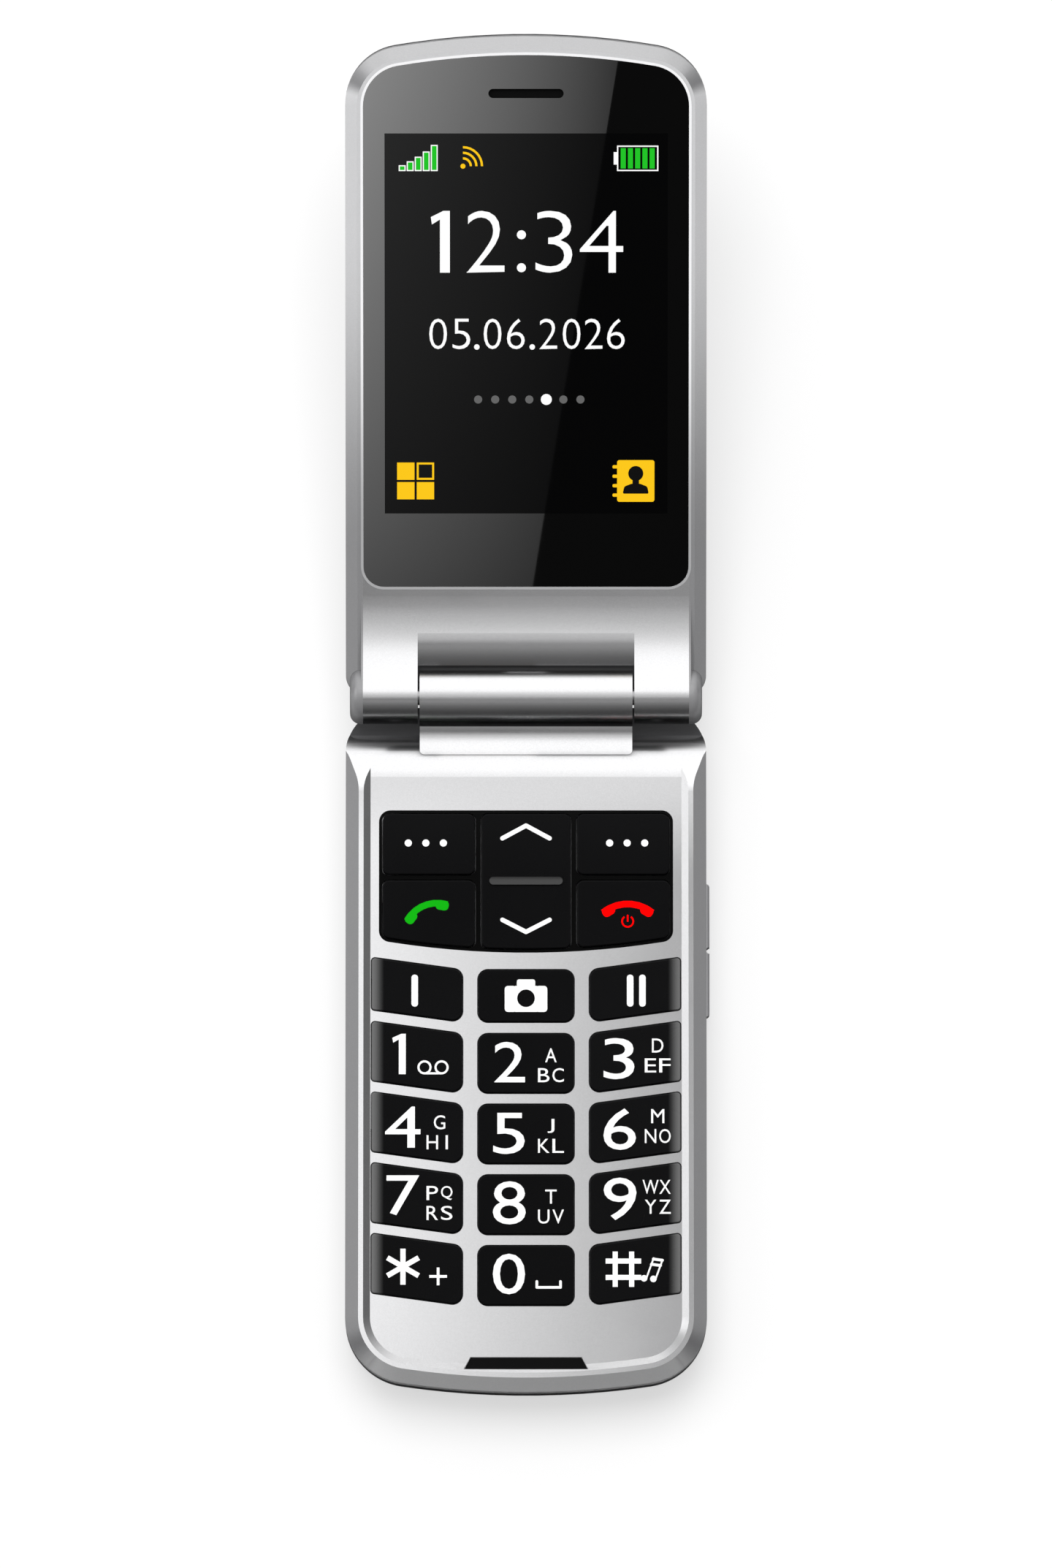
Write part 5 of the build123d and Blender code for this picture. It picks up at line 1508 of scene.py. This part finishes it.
    def menu_sign(self) -> None:
        """Makes four squares, one of them hollow."""
        art = Artwork()
        centre, side, gap, line = (-16.85, 33.2), 2.65, 0.35, 0.3
        reach = (side + gap) / 2
        for across, up in ((-1, -1), (-1, 1), (1, -1), (1, 1)):
            spot = (centre[0] + across * reach, centre[1] + up * reach)
            if across == up == 1:
                art.frame(spot, (side, side), line)
            else:
                art.plate(spot, (side, side))
        self._show(art, "menu_sign", 1, LIGHT_YELLOW)

    def contacts_sign(self) -> None:
        """Makes the contacts book: a page with tabs and a plain bust."""
        page, bust = Artwork(), Artwork()
        (across, up), (width, height), corner = (16.75, 33.2), (5.7, 6.4), 0.35
        tab, tab_corner, tab_shift, pitch, tabs = (1.0, 0.5), 0.2, 0.2, 1.45, 4
        page.plate((across, up), (width, height), corner)
        for place in range(tabs):
            spot = (across - width / 2 - tab_shift, up + (place - (tabs - 1) / 2) * pitch)
            page.plate(spot, tab, tab_corner)
        head, neck, neck_rise = 1.15, (1.0, 1.2), -0.2
        bust.disc((across, up + head), head)
        bust.plate((across, up + neck_rise), neck)
        halves, rises, corner = (2.0, 1.75, 0.6), (-1.95, -0.85, -0.4), 0.25
        right = [(across + half, up + rise) for half, rise in zip(halves, rises)]
        left = [(across - half, up + rise) for half, rise in zip(halves, rises)]
        bust.outline([left[0], *right, *left[:0:-1]], corner)
        self._show(page, "contacts_page", 1, LIGHT_YELLOW)
        self._show(bust, "contacts_bust", 2, SCREEN_DARK)


@dataclass
class WindowEdgeHighlight:
    """Painted highlight round the lid's window: a thin raised band standing for the window's inner edge,
    coloured as the light it catches. Millimetres, on the lid's face.
    """

    sheet: Sheet
    width: float = 0.36
    thickness: float = 0.1
    overlap: float = 0.03
    face_depth: float = 0.02

    def build(self) -> None:
        """Makes the line from the window's own outline."""
        window = bpy.data.objects["display_window"]
        flat = self.sheet.matrix().inverted() @ window.matrix_world
        shape = bmesh.new()
        shape.from_mesh(window.data)
        bmesh.ops.transform(shape, matrix=flat, verts=shape.verts)
        top = max(vert.co.z for vert in shape.verts)
        limit = top - self.face_depth
        buried = [face for face in shape.faces if min(vert.co.z for vert in face.verts) < limit]
        bmesh.ops.delete(shape, geom=buried, context="FACES")
        outline = max(self._rings(shape), key=lambda ring: max(point.y for point in ring))
        shape.free()
        self._band(outline, top)

    @staticmethod
    def _rings(shape: bmesh.types.BMesh) -> list[list[Vector]]:
        """Follows the open edges of a sheet.

        Args:
            shape: The sheet.

        Returns:
            Points of each ring, in order.
        """
        left = {edge for edge in shape.edges if edge.is_boundary}
        rings = []
        while left:
            edge = left.pop()
            start, vert = edge.verts
            ring = [start.co.copy()]
            while vert is not start:
                ring.append(vert.co.copy())
                edge = next(item for item in vert.link_edges if item in left)
                left.remove(edge)
                vert = edge.other_vert(vert)
            rings.append(ring)
        return rings

    def _band(self, outline: list[Vector], top: float) -> None:
        """Makes the closed band outside an outline.

        Args:
            outline: Points of the outline, in order.
            top: Height of the window's face.
        """
        centre = sum(outline, Vector()) / len(outline)
        shape = bmesh.new()
        rows = []
        for place, point in enumerate(outline):
            along = outline[(place + 1) % len(outline)] - outline[place - 1]
            out = Vector((along.y, -along.x, 0.0)).normalized()
            if out.dot(point - centre) < 0:
                out.negate()
            inner, outer = point - out * self.overlap, point + out * self.width
            high = top + self.thickness
            section = ((inner, top), (outer, top), (outer, high), (inner, high))
            rows.append([shape.verts.new((spot.x, spot.y, height)) for spot, height in section])
        for before, after in zip(rows, rows[1:] + rows[:1]):
            for side, other in ((0, 1), (1, 2), (2, 3), (3, 0)):
                shape.faces.new((before[side], before[other], after[other], after[side]))
        bmesh.ops.recalc_face_normals(shape, faces=shape.faces)
        bmesh.ops.transform(shape, matrix=self.sheet.matrix(), verts=shape.verts)
        join_to_body(make_piece("window_painted_highlight", shape, WINDOW_HIGHLIGHT.material()), "lid")


# ---------------------------------------------------------------------------
# Studio
# ---------------------------------------------------------------------------
@dataclass
class Studio:
    """Floor, lights and camera."""

    hinge: Vector
    floor_half: float = 4.0
    floor_glow: float = 0.6
    shadow_reach: float = 0.2
    shadow_end: float = 0.6
    room_tones: tuple[Spot, ...] = (
        (0.0, 0.015),
        (0.28, 0.055),
        (0.45, 0.12),
        (0.6, 0.22),
        (0.67, 0.34),
        (0.8, 0.56),
        (0.88, 0.8),
        (0.93, 1.3),
    )
    side_tones: tuple[Spot, ...] = (
        (0.0, 0.45),
        (0.17, 0.45),
        (0.32, 1.0),
        (0.95, 1.0),
        (0.985, 4.2),
        (1.0, 4.2),
    )
    side_way: Place = (-0.86, 0.1, 0.5)
    room_lean: float = 47.0
    floor_tone: Color = (0.85, 0.85, 0.85)
    # Tones of the floor as the phone mirrors it; darker near the phone as painted shade.
    mirrored_floor: float = 0.72
    mirrored_contact_shade: float = 0.03
    phone_slimness: float = 3.8
    contact_reach: float = 0.032
    contact_end: float = 0.07
    lamp_size: float = 1.2
    lamp_power: float = 22.0
    lamp_place: Place = (-0.1, 0.7, 1.5)
    camera_tilt: float = 7.5
    camera_distance: float = 2.4
    camera_reach: float = 20.0
    view_height: float = 0.2397
    hinge_above_middle: float = 0.0133
    sensor: float = 36.0
    card_tilt: float = 22.5
    card_distance: float = 1.2
    card_middle: float = 57.5
    card_length: float = 90.0
    card_foot: float = 0.0
    card_tip: float = 14.6
    card_reach: float = 200.0
    card_shift: float = 33.0
    plate_card_height: float = 0.06
    plate_card_half: float = 0.045
    plate_card_margin: float = 0.007

    def build(self) -> None:
        """Makes the floor, the lights and the camera."""
        self.floor()
        self.world()
        self.lamp()
        self.glare_card()
        self.plate_card()
        self.camera()

    def floor(self) -> None:
        """Makes the pale floor, which keeps the phone's shadow."""
        shape = bmesh.new()
        bmesh.ops.create_grid(shape, x_segments=1, y_segments=1, size=self.floor_half)
        paint = empty_material("floor_pale")
        tree = NodeTree(paint.node_tree)
        span = (self.shadow_reach, self.shadow_end)
        glow = tree.spread(tree.length(tree.place()), span, (self.floor_glow, 1.0), smooth=True)
        matt = tree.node("BsdfDiffuse", {"Color": self.floor_tone}).outputs[0]
        shine = tree.node("Emission", {"Strength": 1.0}).outputs[0]
        seen = tree.mix(tree.math("MULTIPLY", self._seen_rays(tree), glow), matt, shine)
        glossy = tree.node("LightPath").outputs["Is Glossy Ray"]
        surface = tree.mix(glossy, seen, self._mirrored_floor(tree))
        tree.node("OutputMaterial", {"Surface": surface})
        make_piece("floor", shape, paint)

    def _mirrored_floor(self, tree: NodeTree) -> bpy.types.NodeSocket:
        """Makes the floor as the phone mirrors it, with painted shade: darker close to the phone.

        Args:
            tree: Node tree of the floor's material.

        Returns:
            Socket of the shader.
        """
        squeeze = {0: tree.place(), 1: (1.0, 1.0 / self.phone_slimness, 0.0)}
        away = tree.length(tree.node("VectorMath", squeeze, operation="MULTIPLY").outputs[0])
        span = (self.contact_reach, self.contact_end)
        tone = tree.spread(away, span, (self.mirrored_contact_shade, self.mirrored_floor))
        return tree.node("Emission", {"Strength": tone}).outputs[0]

    @staticmethod
    def _seen_rays(tree: NodeTree) -> bpy.types.NodeSocket:
        """Marks the rays that show the pale background.

        Args:
            tree: Node tree of the material or world.

        Returns:
            Socket that is 1 for such rays.
        """
        path = tree.node("LightPath").outputs
        return tree.math("MAXIMUM", path["Is Camera Ray"], path["Is Transmission Ray"])

    def world(self) -> None:
        """Makes the room: bright over the lid's end, dark over the foot, uneven at the sides."""
        world = bpy.data.worlds.new("studio")
        bpy.context.scene.world = world
        world.use_nodes = True
        world.node_tree.nodes.clear()
        tree = NodeTree(world.node_tree)
        way = tree.node("TexCoord").outputs["Generated"]
        lean = radians(self.room_lean)
        room = self._tones(tree, tree.dot(way, (0.0, sin(lean), cos(lean))), self.room_tones)
        sides = self._tones(tree, tree.dot(way, self.side_way), self.side_tones)
        light = tree.blend(1.0, room, sides, blend_type="MULTIPLY")
        shown = tree.blend(self._seen_rays(tree), light, WHITE)
        shine = tree.node("Background", {"Color": shown})
        tree.node("OutputWorld", {"Surface": shine.outputs[0]})

    @staticmethod
    def _tones(
        tree: NodeTree, reach: bpy.types.NodeSocket, tones: tuple[Spot, ...]
    ) -> bpy.types.NodeSocket:
        """Gives the room its tones from one side to the other.

        Args:
            tree: Node tree of the world.
            reach: How far the direction looked in points to the other side, from -1 to 1.
            tones: Positions between the sides with their grey tones.

        Returns:
            Socket of the tone.
        """
        ramp = tree.node("ValToRGB", {"Fac": tree.spread(reach, (-1.0, 1.0))})
        ramp.color_ramp.interpolation = "EASE"
        middle = 0.5
        while len(ramp.color_ramp.elements) < len(tones):
            ramp.color_ramp.elements.new(middle)
        for element, (position, tone) in zip(ramp.color_ramp.elements, tones):
            element.position = position
            element.color = (tone, tone, tone, 1.0)
        return ramp.outputs["Color"]

    def lamp(self) -> None:
        """Makes the overhead lamp that lights the matt surfaces."""
        light = bpy.data.lights.new("overhead", "AREA")
        light.size = self.lamp_size
        light.energy = self.lamp_power
        lamp = bpy.data.objects.new("overhead", light)
        lamp.location = self.lamp_place
        lamp.rotation_euler = (-Vector(self.lamp_place)).to_track_quat("-Z", "Y").to_euler()
        lamp.visible_glossy = False
        lamp.visible_camera = False
        bpy.context.scene.collection.objects.link(lamp)

    @staticmethod
    def _tilted(angle: float) -> tuple[Vector, Vector]:
        """Gives the way out of a plane that is tilted towards the foot, and the way up it."""
        tilt = radians(angle)
        return Vector((0.0, -sin(tilt), cos(tilt))), Vector((0.0, cos(tilt), sin(tilt)))

    def glare_card(self) -> None:
        """Makes the slanted card that only the lid's window mirrors."""
        way, up = self._tilted(self.card_tilt)
        grow = (1.0 + self.card_distance / self.camera_distance) * MM
        along_lid = Vector((0.0, cos(LID_RAISE), sin(LID_RAISE)))
        middle = self.hinge + along_lid * self.card_middle * MM + way * self.card_distance
        middle += up * self.card_shift * MM
        right = Vector((1.0, 0.0, 0.0))
        half = self.card_length / 2
        corners = (
            (self.card_foot, -half),
            (self.card_tip, half),
            (-self.card_reach, half),
            (-self.card_reach, -half),
        )
        points = [middle + right * across * grow + up * rise * grow for across, rise in corners]
        self._place_card("glare_card", points, GLARE, ("display_window", "screen_panel"))

    def plate_card(self) -> None:
        """Makes the low card that only the keypad's plate mirrors, brighter on the left."""
        low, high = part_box("front_housing")
        shift = self.plate_card_height * tan(radians(self.camera_tilt))
        foot, tip = low.y + shift - self.plate_card_margin, high.y - self.plate_card_margin
        half, rise = self.plate_card_half, high.z + self.plate_card_height
        corners = ((-half, foot), (half, foot), (half, tip), (-half, tip))
        points = [Vector((*corner, rise)) for corner in corners]
        self._place_card("plate_card", points, PLATE_LIGHT, ("front_housing",))

    @staticmethod
    def _place_card(
        name: str, points: list[Vector], look: CardLight, mirrors: tuple[str, ...]
    ) -> None:
        """Makes a card that is seen only in the mirrors named.

        Args:
            name: Name of the card.
            points: Its corners, in order.
            look: Its light.
            mirrors: Names of the objects that mirror it.
        """
        shape = bmesh.new()
        shape.faces.new([shape.verts.new(point) for point in points])
        card = make_piece(name, shape, look.material())
        card.visible_camera = False
        card.visible_diffuse = False
        card.visible_shadow = False
        receivers = bpy.data.collections.new(f"{name}_mirrors")
        for mirror in mirrors:
            receivers.objects.link(bpy.data.objects[mirror])
        card.light_linking.receiver_collection = receivers

    def camera(self) -> None:
        """Makes the camera, looking down on the phone from a little towards its foot."""
        back, up = self._tilted(self.camera_tilt)
        data = bpy.data.cameras.new("camera")
        data.sensor_width = self.sensor
        data.lens = self.sensor * self.camera_distance / self.view_height
        data.clip_end = self.camera_reach
        camera = bpy.data.objects.new("camera", data)
        camera.location = self.hinge - up * self.hinge_above_middle + back * self.camera_distance
        camera.rotation_euler = (radians(self.camera_tilt), 0.0, 0.0)
        bpy.context.scene.collection.objects.link(camera)
        bpy.context.scene.camera = camera


# ---------------------------------------------------------------------------
# Whole phone
# ---------------------------------------------------------------------------
@dataclass
class Phone:
    """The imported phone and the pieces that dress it."""

    frame: dict

    @property
    def hinge(self) -> Vector:
        """Place of the lid's hinge axis."""
        joint = next(item for item in self.frame["joints"] if item["name"] == "lid_hinge")
        return Vector(joint["pos_m"])

    def dress(self) -> None:
        """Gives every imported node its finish."""
        slots = {part["node"]: part["material_slot"] for part in self.frame["record"]["subparts"]}
        for name, node in self.frame["nodes"].items():
            look = NODE_FINISHES.get(name, SLOT_FINISHES[slots[name]])
            node.data.materials.clear()
            node.data.materials.append(look.material())
            node.visible_glossy = name not in PLAIN_REFLECTIONS
            LOG.info("%s is finished in %s", name, look.name)

    def build(self) -> None:
        """Makes the marks on the keys, the picture on the display and the painted highlight round the
        window.
        """
        lid_face = Sheet(self.hinge, LID_RAISE)
        KeyMarks().build()
        ScreenPicture(lid_face).build()
        WindowEdgeHighlight(lid_face).build()


def main() -> None:
    """Builds the dressed phone in its studio."""
    logging.basicConfig(level=logging.INFO, format="%(name)s: %(message)s")
    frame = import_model()
    phone = Phone(frame)
    phone.dress()
    phone.build()
    Studio(phone.hinge).build()
    bpy.context.scene.view_settings.view_transform = "Standard"


if __name__ == "__main__":
    main()
